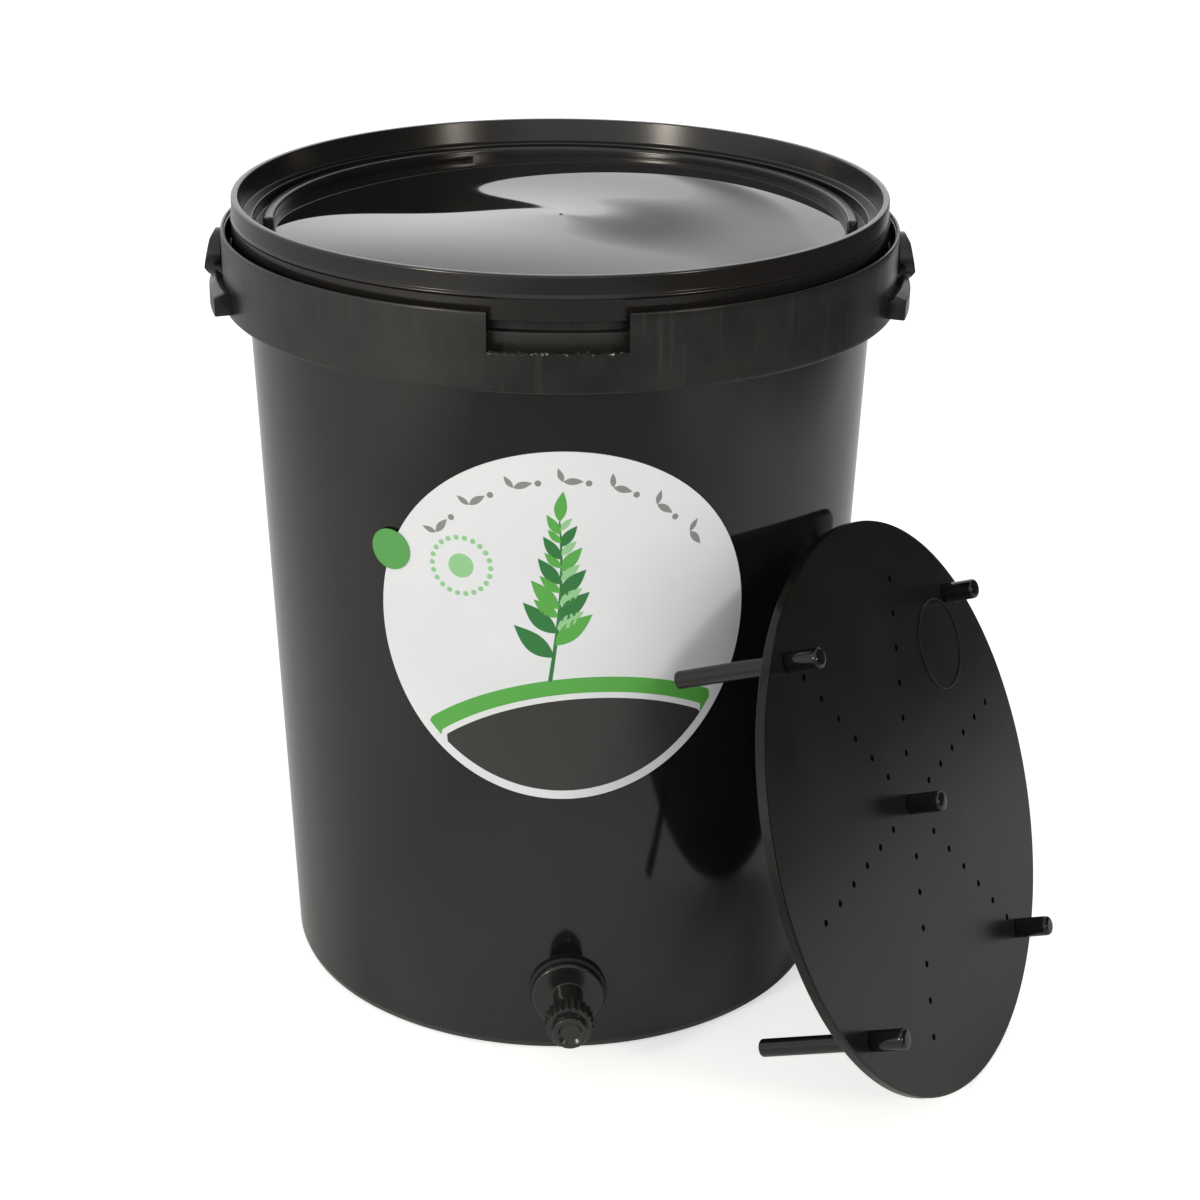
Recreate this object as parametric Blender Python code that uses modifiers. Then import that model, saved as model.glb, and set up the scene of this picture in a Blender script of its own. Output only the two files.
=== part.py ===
"""Bokashi bin: a lidded fermenting pail with a bail handle, a drain tap and a loose drain plate.

Metres, +Z up. The origin is on the pail's axis, on the floor. The tap faces -Y, and the drain plate
leans on the pail's side, as it stands when the bin is shown open for use.
"""

import math

import bmesh
import bpy
from mathutils import Matrix, Vector

mm = 0.001

# General values
touch_gap = 0.3 * mm            # left between two pieces that touch
overrun = 4 * mm                # how far a cutter runs past what it cuts
merge_distance = 0.01 * mm
sink = 0.6 * mm                 # how far a joined solid reaches into its neighbour
round_steps = 72                # sides of the large turned pieces
small_steps = 24                # sides of the small turned pieces

# Pail: a tapered bucket with a bead round its mouth
foot_radius = 140.9 * mm        # outside of the wall, carried down to the floor
wall_slope_share = 0.036        # how far the wall runs out for each unit of height
wall = 2.3 * mm
base_thickness = 3 * mm
base_corner = 5 * mm            # radius between the wall and the base
recess_inner = 100 * mm         # shallow ring sunk in the underside
recess_outer = 127 * mm
recess_depth = 1.2 * mm
pail_height = 388.2 * mm
bead_height = 8.4 * mm
bead_stand = 2.3 * mm           # from the wall out to the bead

# Collar: the band that stands off the wall and shields the lid's edge
collar_stand = 5.7 * mm         # from the lid's side out to the collar's outside
collar_wall = 2.2 * mm
collar_height = 36 * mm
lip_height = 1.5 * mm           # chamfer inside the collar's top edge
lip_width = 0.8 * mm
web_rise = 7.5 * mm             # height of the web's underside above the collar's bottom edge
web_thickness = 2 * mm
rib_count = 24                  # gussets under the web
rib_thickness = 1.8 * mm
notch_width = 61 * mm           # the opening in front, where the lid is prised up
notch_depth = 16.4 * mm

# Lid
skirt_wall = 2.2 * mm
skirt_drop = 5.7 * mm           # below the ledge's underside
skirt_flare = 0.5 * mm
snap_clearance = 0.6 * mm       # between the skirt and the pail's bead
ridge_stand = 0.9 * mm          # the line that runs round the lid's edge
ridge_height = 2.4 * mm
ridge_drop = 9.8 * mm
rim_wall = 3.2 * mm             # upstanding rim, measured at its top edge
rim_rise = 11.5 * mm            # above the ledge
rim_draft = 1.2 * mm
rim_edge = 0.5 * mm             # chamfer of the rim's top edges
ledge_thickness = 1.9 * mm
plug_clearance = 0.6 * mm       # between the lid's plug and the pail's mouth
plug_wall = 2 * mm
panel_drop = 5.7 * mm           # from the ledge down to the panel's edge
panel_crown = 4.5 * mm          # rise of the panel's middle
panel_thickness = 2 * mm
panel_rings = 5
stack_rib_width = 5.2 * mm      # the arc that locates a second bin on top
stack_rib_gap = 4.8 * mm        # from the plug's wall
stack_rib_end = 83.4            # degrees either side of the front where the arc stops
full_turn = 360                 # degrees
gasket_thickness = 1.6 * mm

# Bail handle
pivot_drop = 17.2 * mm          # below the pail's mouth
hub_radius = 11.7 * mm
hub_stand = 8.9 * mm            # from the collar out to the hub's thickest place
hub_peak_drop = 5.8 * mm        # how far that place lies below the pivot
hub_shoulder_stand = 5.9 * mm
hub_shoulder_rise = 8.4 * mm    # above the pivot
hub_top_stand = 3.8 * mm
hub_bottom_stand = 6 * mm
strap_clearance = 2.3 * mm      # from the collar to the strap
strap_thickness = 4 * mm
strap_height = 9 * mm
strap_steps = 36
grip_thickness = 7 * mm
grip_height = 13 * mm
grip_half_length = 50 * mm      # along the strap
pin_radius = 5 * mm
pin_head_radius = 6.5 * mm
pin_head_thickness = 1.8 * mm
running_clearance = 0.4 * mm    # round pins and rotors
lug_near_stand = 5.8 * mm       # the rests beside each hub, from the collar's face
lug_far_stand = 8.3 * mm
lug_peak_stand = 3.2 * mm
lug_height = 11.4 * mm
lug_slope_drop = 2.6 * mm       # from the peak down to either side
lug_gap = 4.2 * mm              # between the hub and the lug
lug_length = 42 * mm            # round the collar
lug_steps = 4

# Tap, along its own axis
tap_height = 36 * mm
tap_bearing = 1.9               # degrees from -Y
flange_radius = 17.8 * mm
flange_thickness = 3.2 * mm
washer_radius = 19.3 * mm
washer_thickness = 1.8 * mm     # at its thinnest
spigot_radius = 9.3 * mm
spigot_length = 19.5 * mm       # inwards from the flange
thread_depth = 0.8 * mm
thread_pitch = 2.4 * mm
thread_turns = 6
hole_clearance = 0.5 * mm
inner_washer_crush = 2 * mm     # extra depth where the wall curves away from the nut
nut_radius = 15.2 * mm          # to the corners of the hexagon
nut_thickness = 7 * mm
barrel_radius = 7.4 * mm
barrel_length = 18.2 * mm
passage_radius = 3.6 * mm
rotor_radius = 4.8 * mm
rotor_length = 16 * mm
port_radius = 2.6 * mm
seal_radius = 0.7 * mm          # of the ring's section
seal_set_backs = (3.2 * mm, 13.7 * mm)  # of the two rings, from the barrel's end
seal_sides = 8
spout_radius = 5.4 * mm
spout_bore = 3.4 * mm
spout_drop = 16.8 * mm          # below the tap's axis
spout_out = 9.4 * mm            # from the flange's face
knob_radius = 11.6 * mm
knob_length = 10 * mm
knurl_count = 22
knurl_depth = 0.9 * mm
nose_radius = 8.5 * mm
nose_length = 5 * mm
dish_radius = 6.3 * mm
dish_depth = 1.6 * mm
drive_radius = 3 * mm
drive_length = 7 * mm
drive_clearance = 0.36 * mm

# Drain plate with its five legs, leaning on the pail
plate_play = 0.85 * mm          # between the plate's edge and the pail, where the plate lies
plate_thickness = 5 * mm
plate_edge = 0.6 * mm
plate_lean = 21.1               # degrees from upright
plate_facing = 61.2             # bearing of the plate's face, degrees from -Y towards +X
plate_bearing = 53.2            # bearing of the plate's centre from the pail's axis
hole_radius = 1.5 * mm
hole_rows = 6
holes_in_row = 6
first_hole = 25.1 * mm          # from the plate's centre
hole_inset = 28.4 * mm          # of the last hole from the plate's edge
row_turn = 4.5                  # degrees
leg_radius = 4.3 * mm
leg_back = 54 * mm
leg_round = 1 * mm              # at the leg's back end
leg_inset = 13.8 * mm           # from the plate's edge
leg_turn = 35.2                 # degrees
leg_steps = 16
head_radius = 5 * mm            # the leg's thicker front end
head_length = 17.4 * mm
head_round = 2 * mm
head_bevel = 0.4 * mm           # where it rests on the plate
emblem_radius = 23.6 * mm       # bare raised ring
emblem_width = 1.2 * mm
emblem_height = 0.5 * mm
emblem_gap = 0.8 * mm           # between the ring and a leg's head
emblem_turn = 33.9              # degrees

# Label and its small round sticker
label_radius_share = 0.228      # of the pail's height
label_height_share = 0.6005     # height of its middle, of the pail's height
label_bearing = 0.7             # degrees
sheet_thickness = 0.5 * mm
sticker_radius = 10 * mm
sticker_turn = 158.5            # degrees round the label, from its right

# Heights and radii worked out from the sizes above
mouth_radius = foot_radius + wall_slope_share * pail_height
bead_radius = mouth_radius + bead_stand
lid_radius = bead_radius + snap_clearance + skirt_wall
collar_radius = lid_radius + collar_stand
collar_inner = collar_radius - collar_wall
collar_bottom = pail_height - collar_height
web_bottom = collar_bottom + web_rise
web_top = web_bottom + web_thickness
pivot_height = pail_height - pivot_drop
ledge_bottom = pail_height + touch_gap + gasket_thickness + touch_gap
ledge_top = ledge_bottom + ledge_thickness
rim_top = ledge_top + rim_rise
panel_edge_top = ledge_top - panel_drop
panel_edge_bottom = panel_edge_top - panel_thickness
skirt_bottom = ledge_bottom - skirt_drop
lug_top = pivot_height - strap_height / 2 - touch_gap
lug_near_angle = math.degrees((hub_radius + lug_gap) / collar_radius)
lug_far_angle = lug_near_angle + math.degrees(lug_length / collar_radius)
label_radius = label_radius_share * pail_height
label_height = label_height_share * pail_height


def wall_radius(height):
    """Outside radius of the pail's wall at a height."""
    return foot_radius + wall_slope_share * height


def inner_radius(height):
    """Inside radius of the pail's wall at a height."""
    return wall_radius(height) - wall


plug_radius = inner_radius(panel_edge_bottom) - plug_clearance
plug_inner = plug_radius - plug_wall
hub_inner = collar_radius + touch_gap + running_clearance / 2
strap_inner = collar_radius + strap_clearance
grip_half_angle = math.degrees(grip_half_length / strap_inner)
plate_radius = inner_radius(leg_back + plate_thickness) - plate_play
leg_circle = plate_radius - leg_inset
emblem_circle = leg_circle - head_radius - emblem_gap - emblem_radius
hole_spacing = (plate_radius - hole_inset - first_hole) / (holes_in_row - 1)
sticker_height = label_height + label_radius * math.sin(math.radians(sticker_turn))
sticker_offset = label_radius * math.cos(math.radians(sticker_turn))
sticker_bearing = label_bearing + math.degrees(sticker_offset / wall_radius(sticker_height))

# Stations along the tap's axis, as distances from the pail's axis
washer_front = wall_radius(tap_height + washer_radius) + touch_gap + washer_thickness
flange_back = washer_front + touch_gap
flange_front = flange_back + flange_thickness
barrel_end = flange_front + barrel_length
knob_back = barrel_end + touch_gap
knob_front = knob_back + knob_length
nose_front = knob_front + nose_length
spigot_end = flange_back - spigot_length
inner_washer_room = washer_thickness + inner_washer_crush
inner_washer_back = inner_radius(tap_height - washer_radius) - inner_washer_room
nut_front = inner_washer_back - touch_gap
nut_back = nut_front - nut_thickness


for old in list(bpy.data.objects):
    bpy.data.objects.remove(old, do_unlink=True)

parts = bpy.data.collections.new("bokashi_bin")
cutters = bpy.data.collections.new("cutters")
bpy.context.scene.collection.children.link(parts)
bpy.context.scene.collection.children.link(cutters)


def make_material(name, colour, roughness, metallic=0.0):
    """A Principled material for one sub-part."""
    material = bpy.data.materials.new(name)
    material.use_nodes = True
    shader = material.node_tree.nodes["Principled BSDF"]
    shader.inputs["Base Color"].default_value = (*colour, 1.0)
    shader.inputs["Roughness"].default_value = roughness
    shader.inputs["Metallic"].default_value = metallic
    return material


def add_object(name, mesh, material=None, parent=None, tool=False):
    """Link a mesh as a part, or as a cutter or guide that the build leaves out."""
    item = bpy.data.objects.new(name, mesh)
    if tool:
        cutters.objects.link(item)
        item.hide_render = True
        item.display_type = "WIRE"
    else:
        parts.objects.link(item)
        mesh.materials.append(material)
    if parent:
        item.parent = parent
    mesh.shade_smooth()
    mesh.set_sharp_from_angle(angle=math.radians(35))
    return item


def turned(name, outline, steps, material=None, parent=None, closed=False, tool=False):
    """Turn an outline of (radius, height) points about Z with a Screw modifier."""
    mesh = bpy.data.meshes.new(name)
    points = [(radius, 0.0, height) for radius, height in outline]
    edges = [(i, i + 1) for i in range(len(points) - 1)]
    if closed:
        edges.append((len(points) - 1, 0))
    mesh.from_pydata(points, edges, [])
    item = add_object(name, mesh, material, parent, tool)
    screw = item.modifiers.new("turn", "SCREW")
    screw.axis = "Z"
    screw.steps = steps
    screw.render_steps = steps
    screw.use_merge_vertices = True
    screw.merge_threshold = merge_distance
    screw.use_smooth_shade = True
    return item


def ring_outline(inner, outer, bottom, top):
    """Closed rectangular section of a ring, running down its outer side."""
    return [(inner, top), (outer, top), (outer, bottom), (inner, bottom)]


def block(name, low, high, material=None, parent=None, tool=True):
    """Box between two corners."""
    mesh = bpy.data.meshes.new(name)
    shape = bmesh.new()
    bmesh.ops.create_cube(shape, size=1.0)
    size = Vector(high) - Vector(low)
    middle = (Vector(high) + Vector(low)) / 2
    bmesh.ops.scale(shape, vec=size, verts=shape.verts)
    bmesh.ops.translate(shape, vec=middle, verts=shape.verts)
    shape.to_mesh(mesh)
    shape.free()
    return add_object(name, mesh, material, parent, tool)


def rod(name, radius, low, high, axis="Z", steps=small_steps, centre=(0, 0, 0), parent=None):
    """Cylinder used as a cutter or a joined solid, from low to high along an axis."""
    mesh = bpy.data.meshes.new(name)
    shape = bmesh.new()
    bmesh.ops.create_cone(
        shape, cap_ends=True, segments=steps, radius1=radius, radius2=radius, depth=high - low
    )
    bmesh.ops.translate(shape, vec=(0, 0, (high + low) / 2), verts=shape.verts)
    turns = {"Z": Matrix(), "X": Matrix.Rotation(math.radians(90), 4, "Y")}
    turns["Y"] = Matrix.Rotation(math.radians(-90), 4, "X")
    bmesh.ops.transform(shape, matrix=turns[axis], verts=shape.verts)
    bmesh.ops.translate(shape, vec=centre, verts=shape.verts)
    shape.to_mesh(mesh)
    shape.free()
    return add_object(name, mesh, None, parent, tool=True)


def on_bearing(radius, bearing):
    """Point at a bearing in degrees, measured from -Y towards +X."""
    angle = math.radians(bearing)
    return Vector((radius * math.sin(angle), -radius * math.cos(angle), 0.0))


def arc_block(name, inner, outer, bottom, top, start, end, steps, tool=True, material=None):
    """Rectangular section swept from one bearing to another about Z, with flat ends."""
    mesh = bpy.data.meshes.new(name)
    shape = bmesh.new()
    corners = [(inner, bottom), (outer, bottom), (outer, top), (inner, top)]
    section = []
    for radius, height in corners:
        place = on_bearing(radius, start)
        section.append(shape.verts.new((place.x, place.y, height)))
    face = shape.faces.new(section)
    bmesh.ops.spin(
        shape,
        geom=[face, *face.edges, *face.verts],
        cent=(0, 0, 0),
        axis=(0, 0, 1),
        angle=math.radians(end - start),
        steps=steps,
        use_duplicate=False,
    )
    bmesh.ops.recalc_face_normals(shape, faces=shape.faces)
    shape.to_mesh(mesh)
    shape.free()
    return add_object(name, mesh, material, None, tool)


def apply_tool(item, tool, operation):
    """Add a Boolean with the exact solver."""
    step = item.modifiers.new(f"{operation.lower()} {tool.name}", "BOOLEAN")
    step.operation = operation
    step.solver = "EXACT"
    step.object = tool


def cut(item, tool):
    apply_tool(item, tool, "DIFFERENCE")


def join(item, tool):
    apply_tool(item, tool, "UNION")


def keep(item, tool):
    apply_tool(item, tool, "INTERSECT")


# Finishes
black_pail = make_material("charcoal polypropylene", (0.028, 0.028, 0.028), 0.32)
black_lid = make_material("glossy charcoal lid", (0.024, 0.023, 0.023), 0.14)
black_bail = make_material("black bail plastic", (0.016, 0.016, 0.016), 0.4)
black_tap = make_material("black tap plastic", (0.014, 0.014, 0.014), 0.28)
rubber = make_material("black rubber", (0.018, 0.018, 0.018), 0.8)
grey_foam = make_material("grey foam seal", (0.35, 0.35, 0.34), 0.9)
plate_plastic = make_material("dark plate sheet", (0.032, 0.029, 0.027), 0.5)
dowel_plastic = make_material("glossy black dowel", (0.012, 0.012, 0.012), 0.2)
label_paper = make_material("white label film", (0.86, 0.87, 0.86), 0.4)
sticker_paper = make_material("green sticker film", (0.1, 0.42, 0.09), 0.4)


def make_bucket_shell():
    """Wall, base, bead, web and collar are one turned section; ribs, lugs and holes follow."""
    corner = []
    corner_steps = 4
    centre_radius = wall_radius(base_corner) - base_corner
    for i in range(corner_steps + 1):
        angle = math.radians(90) * i / corner_steps
        corner.append(
            (
                centre_radius + base_corner * math.cos(angle),
                base_corner - base_corner * math.sin(angle),
            )
        )
    outline = [
        (0.0, base_thickness),
        (inner_radius(base_thickness) - wall, base_thickness),
        (inner_radius(base_thickness + wall), base_thickness + wall),
        (inner_radius(pail_height), pail_height),
        (bead_radius, pail_height),
        (bead_radius, pail_height - bead_height),
        (wall_radius(pail_height - bead_height), pail_height - bead_height - wall),
        (wall_radius(web_top), web_top),
        (collar_inner, web_top),
        (collar_inner, pail_height - lip_height),
        (collar_inner + lip_width, pail_height),
        (collar_radius, pail_height),
        (collar_radius, collar_bottom),
        (collar_inner, collar_bottom),
        (collar_inner, web_bottom),
        (wall_radius(web_bottom), web_bottom),
        *corner,
        (recess_outer, 0.0),
        (recess_outer - recess_depth, recess_depth),
        (recess_inner + recess_depth, recess_depth),
        (recess_inner, 0.0),
        (0.0, 0.0),
    ]
    shell = turned("bucket_shell", outline, round_steps, black_pail)
    join(shell, make_gussets())
    for side in (90, -90):
        for turn in (-1, 1):
            join(shell, make_lug(side, turn))
    half_notch = notch_width / 2
    notch_back = math.sqrt(collar_inner**2 - half_notch**2) - touch_gap
    notch = block(
        "notch",
        (-half_notch, -collar_radius - overrun, pail_height - notch_depth),
        (half_notch, -notch_back, pail_height + overrun),
    )
    cut(shell, notch)
    for side in (-1, 1):
        reach = sorted((side * (collar_inner - overrun), side * (collar_radius + overrun)))
        hole = rod(
            f"pivot_hole_{side}", pin_radius + running_clearance, *reach, "X",
            centre=(0, 0, pivot_height),
        )
        cut(shell, hole)
    tap_hole = rod(
        "tap_hole", spigot_radius + hole_clearance, nut_back, flange_front, parent=tap_axis
    )
    cut(shell, tap_hole)
    return shell


def make_lug(side, turn):
    """Rest for the bail on one side of a pivot, ridged on top and thicker at its far end."""
    mesh = bpy.data.meshes.new(f"lug_{side}_{turn}")
    shape = bmesh.new()
    bottom = lug_top - lug_height
    slope_end = lug_top - lug_slope_drop
    sections = []
    for i in range(lug_steps + 1):
        share = i / lug_steps
        stand = lug_near_stand + share * (lug_far_stand - lug_near_stand)
        bearing = side + turn * (lug_near_angle + share * (lug_far_angle - lug_near_angle))
        corners = [
            (collar_radius - sink, bottom),
            (collar_radius + stand, bottom),
            (collar_radius + stand, slope_end),
            (collar_radius + lug_peak_stand, lug_top),
            (collar_radius - sink, slope_end),
        ]
        ring = []
        for radius, height in corners:
            place = on_bearing(radius, bearing)
            ring.append(shape.verts.new((place.x, place.y, height)))
        sections.append(ring)
    for ring, after in zip(sections, sections[1:]):
        for i in range(len(ring)):
            j = (i + 1) % len(ring)
            shape.faces.new((ring[i], ring[j], after[j], after[i]))
    shape.faces.new(sections[0])
    shape.faces.new(sections[-1])
    bmesh.ops.recalc_face_normals(shape, faces=shape.faces)
    shape.to_mesh(mesh)
    shape.free()
    return add_object(f"lug_{side}_{turn}", mesh, tool=True)


def make_gussets():
    """Radial plates between the wall and the collar, under the web, as one tool."""
    mesh = bpy.data.meshes.new("gussets")
    shape = bmesh.new()
    near = wall_radius(collar_bottom) - sink
    far = collar_inner + sink
    top = web_bottom + sink
    for i in range(rib_count):
        made = bmesh.ops.create_cube(shape, size=1.0)["verts"]
        bmesh.ops.scale(shape, vec=(far - near, rib_thickness, top - collar_bottom), verts=made)
        middle = Vector(((far + near) / 2, 0.0, (top + collar_bottom) / 2))
        bmesh.ops.translate(shape, vec=middle, verts=made)
        turn = Matrix.Rotation(math.radians(full_turn) * (i + 0.5) / rib_count, 3, "Z")
        bmesh.ops.rotate(shape, cent=(0, 0, 0), matrix=turn, verts=made)
    shape.to_mesh(mesh)
    shape.free()
    return add_object("gussets", mesh, tool=True)


def panel_height(radius):
    """Height of the lid panel's top above its edge: a shallow crown."""
    return panel_crown * (1 - (radius / plug_inner) ** 2)


def make_lid():
    """Crowned panel, plug, ledge, upstanding rim and snap skirt, with the stacking arc on top."""
    rings = [plug_inner * i / panel_rings for i in range(panel_rings)]
    panel_top = [(radius, panel_edge_top + panel_height(radius)) for radius in rings]
    panel_bottom = [(radius, panel_edge_bottom + panel_height(radius)) for radius in rings]
    ridge_middle = rim_top - ridge_drop
    outline = [
        *panel_top,
        (plug_inner, panel_edge_top),
        (plug_inner, ledge_top),
        (lid_radius - rim_wall - rim_draft, ledge_top),
        (lid_radius - rim_wall, rim_top - rim_edge),
        (lid_radius - rim_wall + rim_edge, rim_top),
        (lid_radius - rim_edge, rim_top),
        (lid_radius, rim_top - rim_edge),
        (lid_radius, ridge_middle + ridge_height / 2),
        (lid_radius + ridge_stand, ridge_middle),
        (lid_radius, ridge_middle - ridge_height / 2),
        (lid_radius + skirt_flare, skirt_bottom),
        (lid_radius - skirt_wall, skirt_bottom),
        (lid_radius - skirt_wall, ledge_bottom),
        (plug_radius, ledge_bottom),
        (plug_radius, panel_edge_bottom),
        *reversed(panel_bottom),
    ]
    lid = turned("lid", outline, round_steps, black_lid)
    rib_outer = plug_inner - stack_rib_gap
    rib = arc_block(
        "stack_rib",
        rib_outer - stack_rib_width,
        rib_outer,
        panel_edge_top - sink,
        ledge_top - touch_gap,
        stack_rib_end,
        full_turn - stack_rib_end,
        40,
    )
    join(lid, rib)
    return lid


def make_gasket():
    """Flat seal between the pail's mouth and the lid's ledge."""
    outline = ring_outline(
        plug_radius + touch_gap,
        lid_radius - skirt_wall - touch_gap,
        pail_height + touch_gap,
        pail_height + touch_gap + gasket_thickness,
    )
    return turned("lid_gasket", outline, round_steps, grey_foam, closed=True)


def make_bail():
    """Half-round strap with a thicker grip, and a hub, pin and snap head at each end."""
    strap = arc_block(
        "bail_handle",
        strap_inner,
        strap_inner + strap_thickness,
        -strap_height / 2,
        strap_height / 2,
        90,
        270,
        strap_steps,
        tool=False,
        material=black_bail,
    )
    strap.location.z = pivot_height
    grip = arc_block(
        "grip",
        strap_inner - touch_gap,
        strap_inner - touch_gap + grip_thickness,
        -grip_height / 2,
        grip_height / 2,
        180 - grip_half_angle,
        180 + grip_half_angle,
        8,
    )
    grip.parent = strap
    join(strap, grip)
    for side in (-1, 1):
        join(strap, make_hub(side, strap))
        near = collar_inner - 2 * touch_gap - pin_head_thickness
        reach = sorted((side * near, side * (hub_inner + sink)))
        join(strap, rod(f"pin_{side}", pin_radius, *reach, "X", parent=strap))
        reach = sorted((side * near, side * (near + pin_head_thickness)))
        join(strap, rod(f"pin_head_{side}", pin_head_radius, *reach, "X", parent=strap))
    return strap


def make_hub(side, parent):
    """Round hub whose outer face slopes out to below the pivot and back in under it."""
    reach = sorted((side * hub_inner, side * (collar_radius + hub_stand)))
    hub = rod(f"hub_{side}", hub_radius, *reach, "X", steps=32, parent=parent)
    face = bpy.data.meshes.new(f"hub_face_{side}")
    shape = bmesh.new()
    section = [
        (hub_inner - overrun, hub_radius + overrun),
        (collar_radius + hub_top_stand, hub_radius + overrun),
        (collar_radius + hub_top_stand, hub_radius),
        (collar_radius + hub_shoulder_stand, hub_shoulder_rise),
        (collar_radius + hub_stand, -hub_peak_drop),
        (collar_radius + hub_bottom_stand, -hub_radius),
        (collar_radius + hub_bottom_stand, -hub_radius - overrun),
        (hub_inner - overrun, -hub_radius - overrun),
    ]
    corners = [shape.verts.new((side * x, -hub_radius - overrun, z)) for x, z in section]
    outline = shape.faces.new(corners)
    made = bmesh.ops.extrude_face_region(shape, geom=[outline])["geom"]
    moved = [item for item in made if isinstance(item, bmesh.types.BMVert)]
    bmesh.ops.translate(shape, vec=(0, 2 * (hub_radius + overrun), 0), verts=moved)
    bmesh.ops.recalc_face_normals(shape, faces=shape.faces)
    shape.to_mesh(face)
    shape.free()
    keep(hub, add_object(f"hub_face_{side}", face, None, parent, tool=True))
    return hub


def wall_form(name, offset, low, high):
    """Solid cone that follows the pail's wall at an offset, used to fit what lies on it."""
    outline = [
        (0.0, high),
        (wall_radius(high) + offset, high),
        (wall_radius(low) + offset, low),
        (0.0, low),
    ]
    return turned(name, outline, round_steps, tool=True)


def make_tap_body():
    """Flange, threaded spigot, barrel and short spout, with their passages."""
    outline = [
        (0.0, barrel_end),
        (barrel_radius, barrel_end),
        (barrel_radius, flange_front),
        (flange_radius, flange_front),
        (flange_radius, flange_back),
        (spigot_radius, flange_back),
    ]
    thread_start = nut_front + thread_pitch
    for i in range(thread_turns):
        top = thread_start - i * thread_pitch
        outline.append((spigot_radius, top - thread_pitch / 4))
        outline.append((spigot_radius - thread_depth, top - thread_pitch / 2))
        outline.append((spigot_radius, top - thread_pitch * 3 / 4))
    outline.append((spigot_radius, spigot_end))
    outline.append((0.0, spigot_end))
    body = turned("tap_body", outline, small_steps, black_tap, tap_axis)
    spout_place = flange_front + spout_out
    spout = rod(
        "spout", spout_radius, -spout_drop, 0, "Y", centre=(0, 0, spout_place), parent=tap_axis
    )
    join(body, spout)
    rotor_room = rotor_radius + running_clearance
    cut(body, rod("rotor_room", rotor_room, barrel_end - rotor_length, barrel_end + overrun,
                  parent=tap_axis))
    cut(body, rod("passage", passage_radius, spigot_end - overrun, barrel_end - rotor_length + sink,
                  parent=tap_axis))
    cut(body, rod("spout_bore", spout_bore, -spout_drop - overrun, 0, "Y",
                  centre=(0, 0, spout_place), parent=tap_axis))
    return body


def make_tap_washers():
    """Two rubber washers shaped to the wall, one outside under the flange and one inside."""
    span = washer_radius + overrun
    bore = spigot_radius + touch_gap
    outer = turned(
        "tap_outer_washer",
        ring_outline(bore, washer_radius, wall_radius(tap_height) - span / 2, washer_front),
        small_steps * 2, rubber, tap_axis, closed=True,
    )
    cut(outer, wall_form("outer_form", touch_gap, tap_height - span, tap_height + span))
    inner = turned(
        "tap_inner_washer",
        ring_outline(bore, washer_radius - wall, inner_washer_back, wall_radius(tap_height)),
        small_steps * 2, rubber, tap_axis, closed=True,
    )
    keep(inner, wall_form("inner_form", -wall - touch_gap, tap_height - span, tap_height + span))
    return outer, inner


def make_tap_nut():
    """Hexagonal back nut on the spigot."""
    mesh = bpy.data.meshes.new("tap_back_nut")
    shape = bmesh.new()
    bmesh.ops.create_cone(
        shape, cap_ends=True, segments=6, radius1=nut_radius, radius2=nut_radius,
        depth=nut_thickness,
    )
    bmesh.ops.translate(shape, vec=(0, 0, (nut_front + nut_back) / 2), verts=shape.verts)
    shape.to_mesh(mesh)
    shape.free()
    nut = add_object("tap_back_nut", mesh, black_tap, tap_axis)
    bore = rod("nut_bore", spigot_radius + touch_gap, nut_back - overrun, nut_front + overrun,
               parent=tap_axis)
    cut(nut, bore)
    return nut


def make_tap_rotor():
    """Hollow rotor that turns with the knob: an end bore, a side port, two grooves, a drive."""
    inner_end = barrel_end - rotor_length + touch_gap
    groove_half = seal_radius + touch_gap
    groove_floor = rotor_radius - 2 * seal_radius
    outline = [(0.0, barrel_end), (rotor_radius, barrel_end)]
    for set_back in seal_set_backs:
        middle = barrel_end - set_back
        outline += [
            (rotor_radius, middle + groove_half),
            (groove_floor, middle + groove_half),
            (groove_floor, middle - groove_half),
            (rotor_radius, middle - groove_half),
        ]
    outline += [(rotor_radius, inner_end), (0.0, inner_end)]
    rotor = turned("tap_rotor", outline, small_steps, black_tap, tap_axis)
    spout_place = flange_front + spout_out
    join(rotor, rod("drive", drive_radius, barrel_end - sink, knob_back + drive_length,
                    steps=6, parent=tap_axis))
    cut(rotor, rod("rotor_bore", port_radius, inner_end - overrun, spout_place + port_radius,
                   steps=12, parent=tap_axis))
    cut(rotor, rod("rotor_port", port_radius - touch_gap, 0, rotor_radius + overrun, "X", steps=12,
                   centre=(0, 0, spout_place), parent=tap_axis))
    return rotor


def make_tap_seals():
    """Rubber rings in the rotor's grooves, one on each side of its port."""
    middle = rotor_radius + running_clearance - touch_gap - seal_radius
    for name, set_back in zip(("tap_seal_front", "tap_seal_rear"), seal_set_backs):
        outline = []
        for i in range(seal_sides):
            angle = -math.radians(full_turn) * i / seal_sides
            height = barrel_end - set_back + seal_radius * math.sin(angle)
            outline.append((middle + seal_radius * math.cos(angle), height))
        turned(name, outline, small_steps, rubber, tap_axis, closed=True)


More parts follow.
